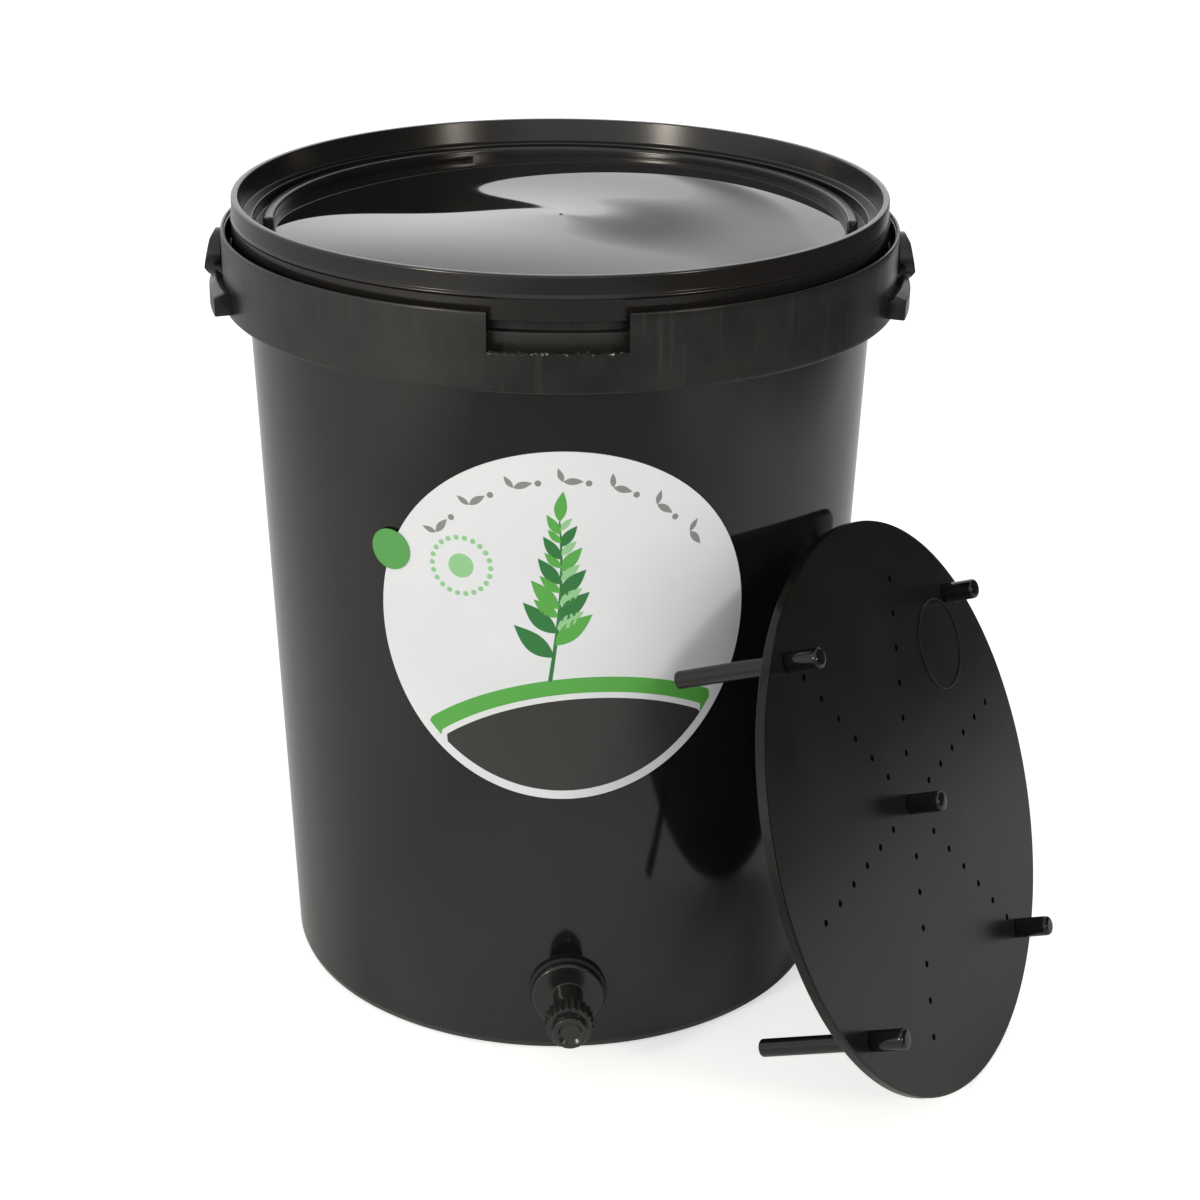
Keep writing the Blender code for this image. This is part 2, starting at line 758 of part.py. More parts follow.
def make_tap_knob():
    """Knurled ring with a smooth dished nose in front and a hexagonal drive hole behind."""
    mesh = bpy.data.meshes.new("tap_knob")
    shape = bmesh.new()
    bmesh.ops.create_cone(
        shape, cap_ends=True, segments=2 * knurl_count, radius1=knob_radius,
        radius2=knob_radius, depth=knob_length,
    )
    for vert in shape.verts:
        turn = math.atan2(vert.co.y, vert.co.x) / math.radians(full_turn) * 2 * knurl_count
        if round(turn) % 2:
            low = (knob_radius - knurl_depth) / knob_radius
            vert.co.x *= low
            vert.co.y *= low
    bmesh.ops.translate(shape, vec=(0, 0, (knob_back + knob_front) / 2), verts=shape.verts)
    shape.to_mesh(mesh)
    shape.free()
    knob = add_object("tap_knob", mesh, black_tap, tap_axis)
    nose_outline = [
        (0.0, nose_front - dish_depth),
        (dish_radius - dish_depth, nose_front - dish_depth),
        (dish_radius, nose_front),
        (nose_radius - rim_edge, nose_front),
        (nose_radius, nose_front - rim_edge),
        (nose_radius, knob_front - sink),
        (0.0, knob_front - sink),
    ]
    join(knob, turned("nose", nose_outline, small_steps, parent=tap_axis, tool=True))
    drive_hole = rod(
        "drive_hole", drive_radius + drive_clearance, knob_back - overrun,
        knob_back + drive_length + touch_gap, steps=6, parent=tap_axis,
    )
    cut(knob, drive_hole)
    return knob


def plate_frame():
    """Axes of the leaning plate: across, up along its face, and out of its face."""
    lean = math.radians(plate_lean)
    face = on_bearing(1.0, plate_facing)
    out = Vector((face.x * math.cos(lean), face.y * math.cos(lean), math.sin(lean)))
    across = Vector((-face.y, face.x, 0.0))
    up = out.cross(across)
    return across, up, out


def plate_samples():
    """Points that may meet the pail, in the plate's frame, each with a radius round it."""
    samples = []
    for i in range(180):
        angle = math.radians(2 * i)
        rim = (plate_radius * math.cos(angle), plate_radius * math.sin(angle), -plate_thickness)
        samples.append((rim, 0.0))
    tip = -plate_thickness - leg_back + leg_round
    flat = leg_radius - leg_round
    for x, y in leg_places():
        for i in range(leg_steps):
            angle = math.radians(full_turn) * i / leg_steps
            edge = (x + flat * math.cos(angle), y + flat * math.sin(angle), tip)
            samples.append((edge, leg_round))
    return samples


def leg_places():
    """Centres of the five legs on the plate: four on a circle and one in the middle."""
    places = [(0.0, 0.0)]
    for i in range(4):
        angle = math.radians(leg_turn + 90 * i)
        places.append((leg_circle * math.cos(angle), leg_circle * math.sin(angle)))
    return places


def plate_matrix():
    """Stand the plate on the floor and lean it on the pail, a touch gap away from the wall."""
    across, up, out = plate_frame()
    lean = math.radians(plate_lean)
    height = plate_radius * math.cos(lean) + plate_thickness * math.sin(lean)
    samples = plate_samples()
    near = foot_radius
    far = foot_radius + 2 * plate_radius
    for _ in range(50):
        distance = (near + far) / 2
        centre = on_bearing(distance, plate_bearing) + Vector((0, 0, height))
        gap = far
        for (x, y, z), ball in samples:
            point = centre + x * across + y * up + z * out
            room = math.hypot(point.x, point.y) - wall_radius(max(point.z, 0.0)) - ball
            gap = min(gap, room)
        if gap > touch_gap:
            far = distance
        else:
            near = distance
    turn = Matrix((across, up, out)).transposed().to_4x4()
    return Matrix.Translation(on_bearing(far, plate_bearing) + Vector((0, 0, height))) @ turn


def make_drain_plate():
    """Round sheet with six rows of drain holes, five leg holes and a bare raised ring."""
    outline = [
        (0.0, 0.0),
        (plate_radius - plate_edge, 0.0),
        (plate_radius, -plate_edge),
        (plate_radius, -plate_thickness),
        (0.0, -plate_thickness),
    ]
    plate = turned("drain_plate", outline, round_steps, plate_plastic)
    plate.matrix_world = plate_matrix()
    mesh = bpy.data.meshes.new("drain_holes")
    shape = bmesh.new()
    places = []
    for row in range(hole_rows):
        angle = math.radians(row_turn + full_turn * row / hole_rows)
        for i in range(holes_in_row):
            radius = first_hole + i * hole_spacing
            places.append((radius * math.cos(angle), radius * math.sin(angle), hole_radius, 8))
    for x, y in leg_places():
        places.append((x, y, leg_radius + touch_gap, leg_steps))
    for x, y, radius, sides in places:
        made = bmesh.ops.create_cone(
            shape, cap_ends=True, segments=sides, radius1=radius, radius2=radius,
            depth=plate_thickness + 2 * overrun,
        )["verts"]
        bmesh.ops.translate(shape, vec=(x, y, -plate_thickness / 2), verts=made)
    shape.to_mesh(mesh)
    shape.free()
    cut(plate, add_object("drain_holes", mesh, None, plate, tool=True))
    ring = turned(
        "emblem_ring",
        ring_outline(emblem_radius - emblem_width, emblem_radius, -sink, emblem_height),
        small_steps * 2, parent=plate, closed=True, tool=True,
    )
    angle = math.radians(emblem_turn)
    ring.location = (emblem_circle * math.cos(angle), emblem_circle * math.sin(angle), 0.0)
    join(plate, ring)
    return plate


def make_legs(plate):
    """Five round pegs, each with a thicker head that rests on the plate's face."""
    corner_steps = 3
    corner = []
    for i in range(corner_steps + 1):
        angle = math.radians(90) * i / corner_steps
        corner.append((1 - math.sin(angle), 1 - math.cos(angle)))
    outline = [(0.0, head_length)]
    for inset, drop in corner:
        outline.append((head_radius - head_round * inset, head_length - head_round * drop))
    outline += [
        (head_radius, touch_gap + head_bevel),
        (head_radius - head_bevel, touch_gap),
        (leg_radius, touch_gap),
    ]
    end = -plate_thickness - leg_back
    for inset, rise in reversed(corner):
        outline.append((leg_radius - leg_round * inset, end + leg_round * rise))
    outline.append((0.0, end))
    names = ["middle", "upper_right", "upper_left", "lower_left", "lower_right"]
    for name, (x, y) in zip(names, leg_places()):
        leg = turned(f"drain_leg_{name}", outline, leg_steps, dowel_plastic, plate)
        leg.location = (x, y, 0.0)


def make_sheet(name, radius, height, bearing, inset, material):
    """Thin round sheet wrapped on the wall: a turned band kept inside an oval cylinder."""
    band_low = height - radius - overrun
    band_high = height + radius + overrun
    outline = [
        (wall_radius(band_high) + inset, band_high),
        (wall_radius(band_high) + inset + sheet_thickness, band_high),
        (wall_radius(band_low) + inset + sheet_thickness, band_low),
        (wall_radius(band_low) + inset, band_low),
    ]
    sheet = turned(name, outline, round_steps, material, closed=True)
    middle_radius = wall_radius(height)
    half_angle = radius / middle_radius
    shape_tool = rod(f"{name}_outline", radius, 0, middle_radius + radius, steps=64)
    squeeze_share = math.sin(half_angle) / half_angle
    shape_tool.scale = (squeeze_share, 1.0, 1.0)
    shape_tool.rotation_euler = (math.radians(90), 0.0, math.radians(bearing))
    shape_tool.location = (0.0, 0.0, height)
    keep(sheet, shape_tool)
    return sheet


tap_axis = bpy.data.objects.new("tap_axis", None)
parts.objects.link(tap_axis)
tap_axis.location = (0.0, 0.0, tap_height)
tap_axis.rotation_euler = (math.radians(90), 0.0, math.radians(tap_bearing))

make_bucket_shell()
make_lid()
make_gasket()
make_bail()
make_tap_body()
make_tap_washers()
make_tap_nut()
make_tap_rotor()
make_tap_seals()
make_tap_knob()
make_legs(make_drain_plate())
make_sheet("front_label", label_radius, label_height, label_bearing, touch_gap, label_paper)
make_sheet(
    "label_sticker", sticker_radius, sticker_height, sticker_bearing,
    2 * touch_gap + sheet_thickness, sticker_paper,
)
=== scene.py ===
# %% [markdown]
# # Dressing a fermenting bin
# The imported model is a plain, faceted machine: a pail, its lid, its bail, a drain tap and a round
# drain plate on five legs. This lesson puts finer pieces over it, gives every piece a finish, and
# lights it the way a catalogue would. Lengths are in metres, written as a number of millimetres.

import math

import bpy
from mathutils import Matrix, Vector


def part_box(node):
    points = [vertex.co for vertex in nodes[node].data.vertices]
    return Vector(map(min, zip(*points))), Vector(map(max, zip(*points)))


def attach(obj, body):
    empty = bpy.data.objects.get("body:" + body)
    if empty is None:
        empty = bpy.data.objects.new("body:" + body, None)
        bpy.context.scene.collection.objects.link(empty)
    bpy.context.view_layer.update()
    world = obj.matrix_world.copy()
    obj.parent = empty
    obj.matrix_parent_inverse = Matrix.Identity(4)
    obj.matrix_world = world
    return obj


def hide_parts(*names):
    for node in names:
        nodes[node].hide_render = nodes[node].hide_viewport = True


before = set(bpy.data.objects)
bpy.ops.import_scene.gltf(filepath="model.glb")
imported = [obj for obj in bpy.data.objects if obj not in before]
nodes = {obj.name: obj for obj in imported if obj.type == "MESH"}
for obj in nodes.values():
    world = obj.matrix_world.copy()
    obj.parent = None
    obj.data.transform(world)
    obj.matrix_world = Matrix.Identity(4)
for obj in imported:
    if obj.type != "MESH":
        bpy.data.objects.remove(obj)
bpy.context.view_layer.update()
mm = 0.001
full_turn = math.tau

# %% [markdown]
# ## A lathe in two steps
# Most of this bin is round, so most of its pieces start as half of a section. A primitive is merged
# down to a single point, the point is extruded from corner to corner, and the line is spun round Z.
# A corner that has a radius is first swapped for a short curve, because moulded plastic has no
# knife edges, and a rounded edge is what catches the light.


# %% Small helpers for selecting
def deselect():
    """Nothing selected, so the next operator acts only on what it is given."""
    bpy.ops.object.select_all(action="DESELECT")


def activate(piece):
    deselect()
    piece.select_set(True)
    bpy.context.view_layer.objects.active = piece


def edit(piece):
    activate(piece)
    bpy.ops.object.mode_set(mode="EDIT")


def leave_edit():
    bpy.ops.object.mode_set(mode="OBJECT")


def name_piece(name):
    piece = bpy.context.object
    piece.name = name
    piece.data.name = name
    return piece


def pick_all():
    bpy.ops.mesh.select_all(action="SELECT")


merge_within = 0.001 * mm


def weld(distance=merge_within):
    """Merge the points that lie within a distance of each other."""
    pick_all()
    bpy.ops.mesh.remove_doubles(threshold=distance)


def face_outwards():
    """Turn every face of the piece in edit mode outwards, and leave edit mode."""
    pick_all()
    bpy.ops.mesh.normals_make_consistent(inside=False)
    leave_edit()


def smooth(piece, degrees=40):
    activate(piece)
    bpy.ops.object.shade_smooth_by_angle(angle=math.radians(degrees))


def apply_all(piece):
    activate(piece)
    for modifier in list(piece.modifiers):
        bpy.ops.object.modifier_apply(modifier=modifier.name)


def settle(piece):
    """Put the object's place into its mesh, as the frame's nodes have it."""
    activate(piece)
    bpy.ops.object.transform_apply(location=True, rotation=True, scale=True)


def triangles(piece):
    return sum(len(face.vertices) - 2 for face in piece.data.polygons)


print("points closer than this in mm are merged:", merge_within / mm)


# %% The lathe
longest_curve = 0.48


def rounded(outline, parts=3, closed=False):
    """Swap each corner that has a radius for a short curve, which takes up less than half of the
    sides that meet there."""
    points = []
    count = len(outline)
    for i, (x, z, radius) in enumerate(outline):
        here = Vector((x, z))
        if not radius or (not closed and i in (0, count - 1)):
            points.append(here)
            continue
        before = Vector(outline[i - 1][:2]) - here
        after = Vector(outline[(i + 1) % count][:2]) - here
        reach = radius / math.tan(before.angle(after) / 2)
        reach = min(reach, longest_curve * before.length, longest_curve * after.length)
        start = here + before.normalized() * reach
        end = here + after.normalized() * reach
        for k in range(parts + 1):
            t = k / parts
            points.append(start * (1 - t) ** 2 + here * (2 * t * (1 - t)) + end * t**2)
    return points


def trace(name, points, unit=1, y=0.0):
    """Extrude one point along a line that lies in the XZ plane. The piece is left in edit mode."""
    deselect()
    bpy.ops.mesh.primitive_plane_add(size=mm, location=(0, 0, 0))
    piece = name_piece(name)
    bpy.ops.object.mode_set(mode="EDIT")
    pick_all()
    bpy.ops.mesh.merge(type="CENTER")
    bpy.ops.transform.translate(value=(points[0][0] * unit, y, points[0][1] * unit))
    for (ax, az), (bx, bz) in zip(points, points[1:]):
        step = ((bx - ax) * unit, 0, (bz - az) * unit)
        bpy.ops.mesh.extrude_region_move(TRANSFORM_OT_translate={"value": step})
    pick_all()
    return piece


def draw_section(name, outline, parts=3, closed=False):
    points = rounded(outline, parts, closed)
    return trace(name, [*points, points[0]] if closed else points)


def turn(name, outline, steps=192, parts=3, closed=False):
    """Draw a section and spin it once round Z into a closed shape."""
    piece = draw_section(name, outline, parts, closed)
    bpy.ops.mesh.spin(steps=steps, angle=full_turn, center=(0, 0, 0), axis=(0, 0, 1))
    weld()
    face_outwards()
    return piece


def sweep(name, outline, start, end, steps, parts=3):
    """Spin a closed section through part of a turn, with its two ends capped. Angles are bearings
    in degrees, from -Y (the front) towards +X (the right)."""
    piece = draw_section(name, outline, parts, closed=True)
    weld()
    bpy.ops.mesh.edge_face_add()
    bpy.ops.mesh.spin(
        steps=steps, angle=-math.radians(end - start), center=(0, 0, 0), axis=(0, 0, 1)
    )
    weld()
    face_outwards()
    piece.rotation_euler.z = math.radians(start - 90)
    settle(piece)
    return piece


print("corners take up at most this share of a side:", longest_curve)

# %% [markdown]
# What can't be turned is copied, joined, softened or cut. A Boolean adds or takes away one closed
# body, and its exact solver keeps the result closed. Each finished piece is shaded, coloured and
# tied to its body at once, and its open edges are counted, because a closed body has none.


# %% Copies, joins and cuts
def move_to(piece, matrix):
    piece.matrix_world = matrix
    settle(piece)


def discard(piece):
    bpy.data.objects.remove(piece, do_unlink=True)


def copy_of(piece, name, matrix):
    """A copy with a mesh of its own, set in place by a matrix."""
    twin = piece.copy()
    twin.data = piece.data.copy()
    twin.name = name
    bpy.context.scene.collection.objects.link(twin)
    move_to(twin, matrix)
    return twin


def join(pieces, name):
    deselect()
    for piece in pieces:
        piece.select_set(True)
    bpy.context.view_layer.objects.active = pieces[0]
    bpy.ops.object.join()
    pieces[0].name = name
    pieces[0].data.name = name
    return pieces[0]


def soften(piece, width, degrees=40, segments=2):
    """Round the edges where the surface turns by more than an angle."""
    step = piece.modifiers.new("soft edges", "BEVEL")
    step.width = width
    step.segments = segments
    step.limit_method = "ANGLE"
    step.angle_limit = math.radians(degrees)
    apply_all(piece)


def open_edges(piece):
    """How many edges don't have exactly two faces. A closed body has none."""
    count = {}
    for face in piece.data.polygons:
        for key in face.edge_keys:
            count[key] = count.get(key, 0) + 1
    return sum(1 for uses in count.values() if uses != 2)


def finish_piece(piece, material, body, slot, *replaced, angle=35):
    """Shade, colour and register a piece, and say how large it came out."""
    smooth(piece, angle)
    if material:
        piece.data.materials.clear()
        piece.data.materials.append(material)
    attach(piece, body)
    if replaced:
        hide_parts(*replaced)
    print(piece.name, triangles(piece), "triangles,", open_edges(piece), "open edges")


def combine(piece, other, operation):
    """An exact Boolean between two pieces, applied at once. The other piece is used up."""
    step = piece.modifiers.new(operation.lower(), "BOOLEAN")
    step.operation = operation
    step.solver = "EXACT"
    step.object = other
    activate(piece)
    bpy.ops.object.modifier_apply(modifier=step.name)
    discard(other)


def block(name, size, place):
    deselect()
    bpy.ops.mesh.primitive_cube_add(size=1, location=(0, 0, 0))
    piece = name_piece(name)
    piece.scale = size
    piece.location = place
    settle(piece)
    return piece


def peg(name, radius, depth, place, axis=(0, 0, 1), sides=48):
    """A plain cylinder or prism, centred at a place and pointing along an axis."""
    deselect()
    bpy.ops.mesh.primitive_cylinder_add(vertices=sides, radius=radius, depth=depth)
    piece = name_piece(name)
    turn_to = Vector((0, 0, 1)).rotation_difference(Vector(axis)).to_matrix().to_4x4()
    move_to(piece, Matrix.Translation(place) @ turn_to)
    return piece


print("pieces in the packed model:", len(nodes))


# %% [markdown]
# ## The camera
# The bin was photographed from a little above, with a long lens. The numbers come from matching the
# rims, the base and the plate's rim, so that each edge lands close to where the photograph has it.

# %% Camera
def add_object(name, data):
    made = bpy.data.objects.new(name, data)
    bpy.context.scene.collection.objects.link(made)
    return made


camera_place = Vector((0, -1187.73 * mm, 690.79 * mm))
camera_pitch = math.radians(23.072)
camera_yaw = math.radians(1.024)
camera_roll = math.radians(0.622)
reach_ahead = math.cos(camera_pitch)
forward = Vector(
    (
        math.sin(camera_yaw) * reach_ahead,
        math.cos(camera_yaw) * reach_ahead,
        -math.sin(camera_pitch),
    )
)
level = forward.cross(Vector((0, 0, 1))).normalized()
above = level.cross(forward)
right = level * math.cos(camera_roll) + above * math.sin(camera_roll)
up = above * math.cos(camera_roll) - level * math.sin(camera_roll)
camera_data = bpy.data.cameras.new("catalogue camera")
camera_data.lens = 73.99
camera_data.sensor_width = 36
camera_data.clip_start = 0.05
camera = add_object("catalogue camera", camera_data)
camera_turn = Matrix((right, up, -forward)).transposed().to_4x4()
camera.matrix_world = Matrix.Translation(camera_place) @ camera_turn
bpy.context.scene.camera = camera
print("camera height in mm:", round(camera_place.z / mm))

# %% [markdown]
# ## Surface effects that several finishes share
# Three small node groups are built once. Grain gives a fine moulded texture and a broad, slow
# mottling. Rubs gives thin scratches that run mostly one way. Dust gathers on faces that look up.
# Each puts out only masks and heights, so every finish can mix them in its own amounts.


# %% Shared node groups
def new_group(name, inputs, outputs):
    group = bpy.data.node_groups.new(name, "ShaderNodeTree")
    for socket, kind, value in inputs:
        made = group.interface.new_socket(socket, in_out="INPUT", socket_type=kind)
        if value is not None:
            made.default_value = value
    for socket in outputs:
        group.interface.new_socket(socket, in_out="OUTPUT", socket_type="NodeSocketFloat")
    source = group.nodes.new("NodeGroupInput").outputs
    return group, source, group.nodes.new("NodeGroupOutput").inputs


def feed(tree, value, socket):
    """Set a socket to a plain value, or link it to another node's output."""
    if isinstance(value, bpy.types.NodeSocket):
        tree.links.new(value, socket)
    else:
        socket.default_value = value


def math_node(tree, operation, first, second=None, clamp=False):
    node = tree.nodes.new("ShaderNodeMath")
    node.operation = operation
    node.use_clamp = clamp
    feed(tree, first, node.inputs[0])
    if second is not None:
        feed(tree, second, node.inputs[1])
    return node.outputs[0]


def product(tree, first, *others):
    for other in others:
        first = math_node(tree, "MULTIPLY", first, other)
    return first


def added(tree, first, second):
    """The sum of two values, kept from 0 to 1."""
    return math_node(tree, "ADD", first, second, clamp=True)


def axes_of(tree, vector):
    """The three parts of a vector, which are read by the names X, Y and Z."""
    node = tree.nodes.new("ShaderNodeSeparateXYZ")
    tree.links.new(vector, node.inputs[0])
    return node.outputs


def squared_reach(tree, axes):
    """The square of a point's distance from the Z axis."""
    across = math_node(tree, "POWER", axes["X"], 2.0)
    along = math_node(tree, "POWER", axes["Y"], 2.0)
    return math_node(tree, "ADD", across, along)


def stretched(tree, vector, stretch):
    node = tree.nodes.new("ShaderNodeVectorMath")
    node.operation = "MULTIPLY"
    tree.links.new(vector, node.inputs[0])
    feed(tree, stretch, node.inputs[1])
    return node.outputs[0]


def noise(tree, vector, scale, detail, roughness):
    node = tree.nodes.new("ShaderNodeTexNoise")
    values = {"Vector": vector, "Scale": scale, "Detail": detail, "Roughness": roughness}
    for name, value in values.items():
        feed(tree, value, node.inputs[name])
    return node.outputs["Fac"]


def ramp(tree, value, low, high, start=0.0, end=1.0):
    """Turn the stretch from low to high into the stretch from start to end, and stop there."""
    node = tree.nodes.new("ShaderNodeMapRange")
    values = {"Value": value, "From Min": low, "From Max": high, "To Min": start, "To Max": end}
    for name, number in values.items():
        feed(tree, number, node.inputs[name])
    return node.outputs["Result"]


def make_grain_group():
    tree, source, out = new_group(
        "moulded grain",
        [("Vector", "NodeSocketVector", None), ("Fineness", "NodeSocketFloat", 900.0)],
        ["Height", "Mottle"],
    )
    fine = noise(tree, source["Vector"], source["Fineness"], 3.0, 0.6)
    broad = noise(tree, source["Vector"], 14.0, 4.0, 0.55)
    tree.links.new(fine, out["Height"])
    tree.links.new(ramp(tree, broad, 0.3, 0.7), out["Mottle"])
    return tree


def make_rub_group():
    tree, source, out = new_group(
        "rub marks",
        [
            ("Vector", "NodeSocketVector", None),
            ("Stretch", "NodeSocketVector", (1.0, 1.0, 0.04)),
            ("Density", "NodeSocketFloat", 420.0),
        ],
        ["Mask"],
    )
    along = stretched(tree, source["Vector"], source["Stretch"])
    lines = ramp(tree, noise(tree, along, source["Density"], 1.0, 0.4), 0.66, 0.76)
    patches = ramp(tree, noise(tree, source["Vector"], 9.0, 3.0, 0.6), 0.48, 0.66)
    tree.links.new(product(tree, lines, patches), out["Mask"])
    return tree


def make_dust_group():
    tree, source, out = new_group(
        "settled dust",
        [("Vector", "NodeSocketVector", None), ("Normal", "NodeSocketVector", None)],
        ["Mask"],
    )
    facing_up = ramp(tree, axes_of(tree, source["Normal"])["Z"], 0.5, 0.95)
    specks = ramp(tree, noise(tree, source["Vector"], 1500.0, 2.0, 0.7), 0.66, 0.78)
    clouds = ramp(tree, noise(tree, source["Vector"], 22.0, 4.0, 0.6), 0.42, 0.72)
    settled = added(tree, product(tree, clouds, 0.35), specks)
    tree.links.new(product(tree, settled, facing_up), out["Mask"])
    return tree


grain_group = make_grain_group()
rub_group = make_rub_group()
dust_group = make_dust_group()
print("node groups:", [group.name for group in bpy.data.node_groups])


# %% [markdown]
# ## Moulded plastic
# All of the black parts are injection moulded. One recipe serves them: a dark colour that drifts a
# little, a roughness that is broken up by rubs and dust, and a very shallow bump. What changes from
# piece to piece is how dark, how glossy and how fine the grain is.


# %% Recipe for moulded plastic
def place_group(tree, group, vector, **values):
    node = tree.nodes.new("ShaderNodeGroup")
    node.node_tree = group
    tree.links.new(vector, node.inputs["Vector"])
    for socket, value in values.items():
        node.inputs[socket].default_value = value
    return node


def mix_colour(tree, factor, first, second):
    node = tree.nodes.new("ShaderNodeMix")
    node.data_type = "RGBA"
    tree.links.new(factor, node.inputs["Factor"])
    for slot, value in ((6, first), (7, second)):
        if isinstance(value, tuple):
            node.inputs[slot].default_value = (*value, 1.0)
        else:
            tree.links.new(value, node.inputs[slot])
    return node.outputs[2]


def new_material(name):
    """A material, with its node tree, its shader and the piece's own coordinates."""
    material = bpy.data.materials.new(name)
    material.use_nodes = True
    tree = material.node_tree
    place = tree.nodes.new("ShaderNodeTexCoord").outputs
    return material, tree, tree.nodes["Principled BSDF"], place


def add_bump(tree, shader, height, depth):
    bump = tree.nodes.new("ShaderNodeBump")
    bump.inputs["Strength"].default_value = 1.0
    bump.inputs["Distance"].default_value = depth
    tree.links.new(height, bump.inputs["Height"])
    tree.links.new(bump.outputs["Normal"], shader.inputs["Normal"])


scuffed_shade = (0.018, 0.0185, 0.0165)
rubbed_shade = (0.3, 0.3, 0.3)
dust_shade = (0.55, 0.54, 0.52)
polished_share = 0.075


def moulded(
    name, colour, lighter, roughness, fineness, depth,
    rub=0.1, dust=0.05, worn_from=None, polished=None, shine=0.5,
):
    """A moulded plastic, from its two shades, gloss, grain and wear. Rubs and scuffs can start at
    a height, and the part within a radius can be polished."""
    material, tree, shader, place = new_material(name)
    vector = place["Object"]
    axes = axes_of(tree, vector)
    grain = place_group(tree, grain_group, vector, Fineness=fineness).outputs
    rubs = place_group(tree, rub_group, vector).outputs["Mask"]
    dusty = place_group(tree, dust_group, vector)
    tree.links.new(place["Normal"], dusty.inputs["Normal"])
    rubbed = product(tree, rubs, rub)
    film = product(tree, dusty.outputs["Mask"], dust)
    shade = mix_colour(tree, grain["Mottle"], colour, lighter)
    gloss = ramp(tree, grain["Mottle"], 0.0, 1.0, roughness * 0.85, roughness * 1.15)
    if worn_from:
        worn = ramp(tree, axes["Z"], worn_from - mm, worn_from)
        rubbed = product(tree, rubbed, worn)
        clouds = ramp(tree, noise(tree, vector, 38.0, 4.0, 0.6), 0.42, 0.68, 0.0, 0.7)
        streaks = stretched(tree, vector, (1.0, 1.0, 0.07))
        scuffs = ramp(tree, noise(tree, streaks, 240.0, 2.0, 0.6), 0.56, 0.72)
        marks = product(tree, math_node(tree, "MAXIMUM", clouds, scuffs), worn)
        shade = mix_colour(tree, marks, shade, scuffed_shade)
        cloudy = product(tree, grain["Mottle"], worn, 0.22)
        haze = math_node(tree, "ADD", product(tree, worn, 0.12), cloudy)
        gloss = math_node(tree, "ADD", gloss, haze)
    if polished:
        reach = squared_reach(tree, axes)
        dull = ramp(tree, reach, polished**2, (polished + mm) ** 2, polished_share, 1.0)
        gloss = product(tree, gloss, dull)
    shade = mix_colour(tree, rubbed, shade, rubbed_shade)
    shade = mix_colour(tree, film, shade, dust_shade)
    gloss = added(tree, added(tree, gloss, product(tree, rubbed, 0.5)), film)
    tree.links.new(shade, shader.inputs["Base Color"])
    tree.links.new(gloss, shader.inputs["Roughness"])
    add_bump(tree, shader, grain["Height"], depth)
    shader.inputs["IOR"].default_value = 1.5
    shader.inputs["Specular IOR Level"].default_value = shine
    return material


pail_plastic = moulded(
    "glossy pail plastic", (0.006, 0.006, 0.006), (0.01, 0.0098, 0.0095), 0.09, 240.0, 0.002 * mm,
    rub=0.05, worn_from=353 * mm,
)
lid_plastic = moulded(
    "glossy lid plastic", (0.009, 0.008, 0.0072), (0.013, 0.0115, 0.0103), 0.21, 160.0, 0.0006 * mm,
    rub=0.0, dust=0.01, polished=138.5 * mm,
)
bail_plastic = moulded(
    "black bail plastic", (0.005, 0.005, 0.005), (0.008, 0.008, 0.008), 0.22, 900.0, 0.006 * mm
)
tap_plastic = moulded(
    "black tap plastic", (0.01, 0.0102, 0.0095), (0.016, 0.0165, 0.015), 0.22, 1200.0, 0.005 * mm
)
tap_rubber = moulded(
    "tap rubber", (0.006, 0.006, 0.006), (0.011, 0.011, 0.011), 0.6, 1600.0, 0.02 * mm
)
plate_sheet = moulded(
    "grained plate sheet", (0.006, 0.0052, 0.0045), (0.0105, 0.009, 0.0078), 0.25, 1100.0,
    0.01 * mm, rub=0.0, shine=0.3,
)
peg_plastic = moulded(
    "glossy peg plastic", (0.004, 0.004, 0.004), (0.007, 0.007, 0.0068), 0.1, 900.0, 0.003 * mm,
    rub=0.0,
)
seal_foam = moulded(
    "grey seal foam", (0.3, 0.3, 0.29), (0.4, 0.4, 0.39), 0.85, 1400.0, 0.05 * mm, rub=0.0
)
finishes = {
    "lid_gasket": seal_foam,
    "tap_inner_washer": tap_rubber,
    "tap_back_nut": tap_plastic,
    "tap_rotor": tap_plastic,
    "tap_seal_front": tap_rubber,
    "tap_seal_rear": tap_rubber,
}
for node_name, material in finishes.items():
    for slot in nodes[node_name].material_slots:
        slot.material = material
print("finishes ready:", len(finishes), "hidden nodes keep their solids")


# %% [markdown]
# ## The pail
# The pail is one moulding: a tapered wall with a rounded foot, a bead at the mouth, and a collar
# that stands off the wall on a web. Turning the whole section at once keeps the web, the collar and
# the wall one body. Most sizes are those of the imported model, with the edges rounded. A shallow
# recess goes round the underside. A few extra points along straight stretches keep the long faces
# of the wall clear of the later cuts.

# %% Sizes of the pail
foot_radius = 140.9 * mm
wall_slope = 0.036
wall = 2.3 * mm
base_thickness = 3 * mm
pail_height = 388.2 * mm
bead_radius = 157.175 * mm
bead_height = 3.6 * mm
band_radius = 157 * mm
band_top = 377.4 * mm
band_bottom = 363.2 * mm
collar_radius = 165.675 * mm
collar_wall = 2.2 * mm
collar_inner = collar_radius - collar_wall
collar_bottom = pail_height - 36 * mm
web_bottom = collar_bottom + 7.5 * mm
web_top = web_bottom + 2 * mm
pivot_height = pail_height - 17.2 * mm
recess_outer = 127 * mm
recess_inner = 100 * mm
recess_depth = 1.2 * mm


def wall_radius(height):
    return foot_radius + wall_slope * height


def inner_radius(height):
    return wall_radius(height) - wall


print("inside of the mouth in mm:", round(2 * inner_radius(pail_height) / mm, 1), "across")

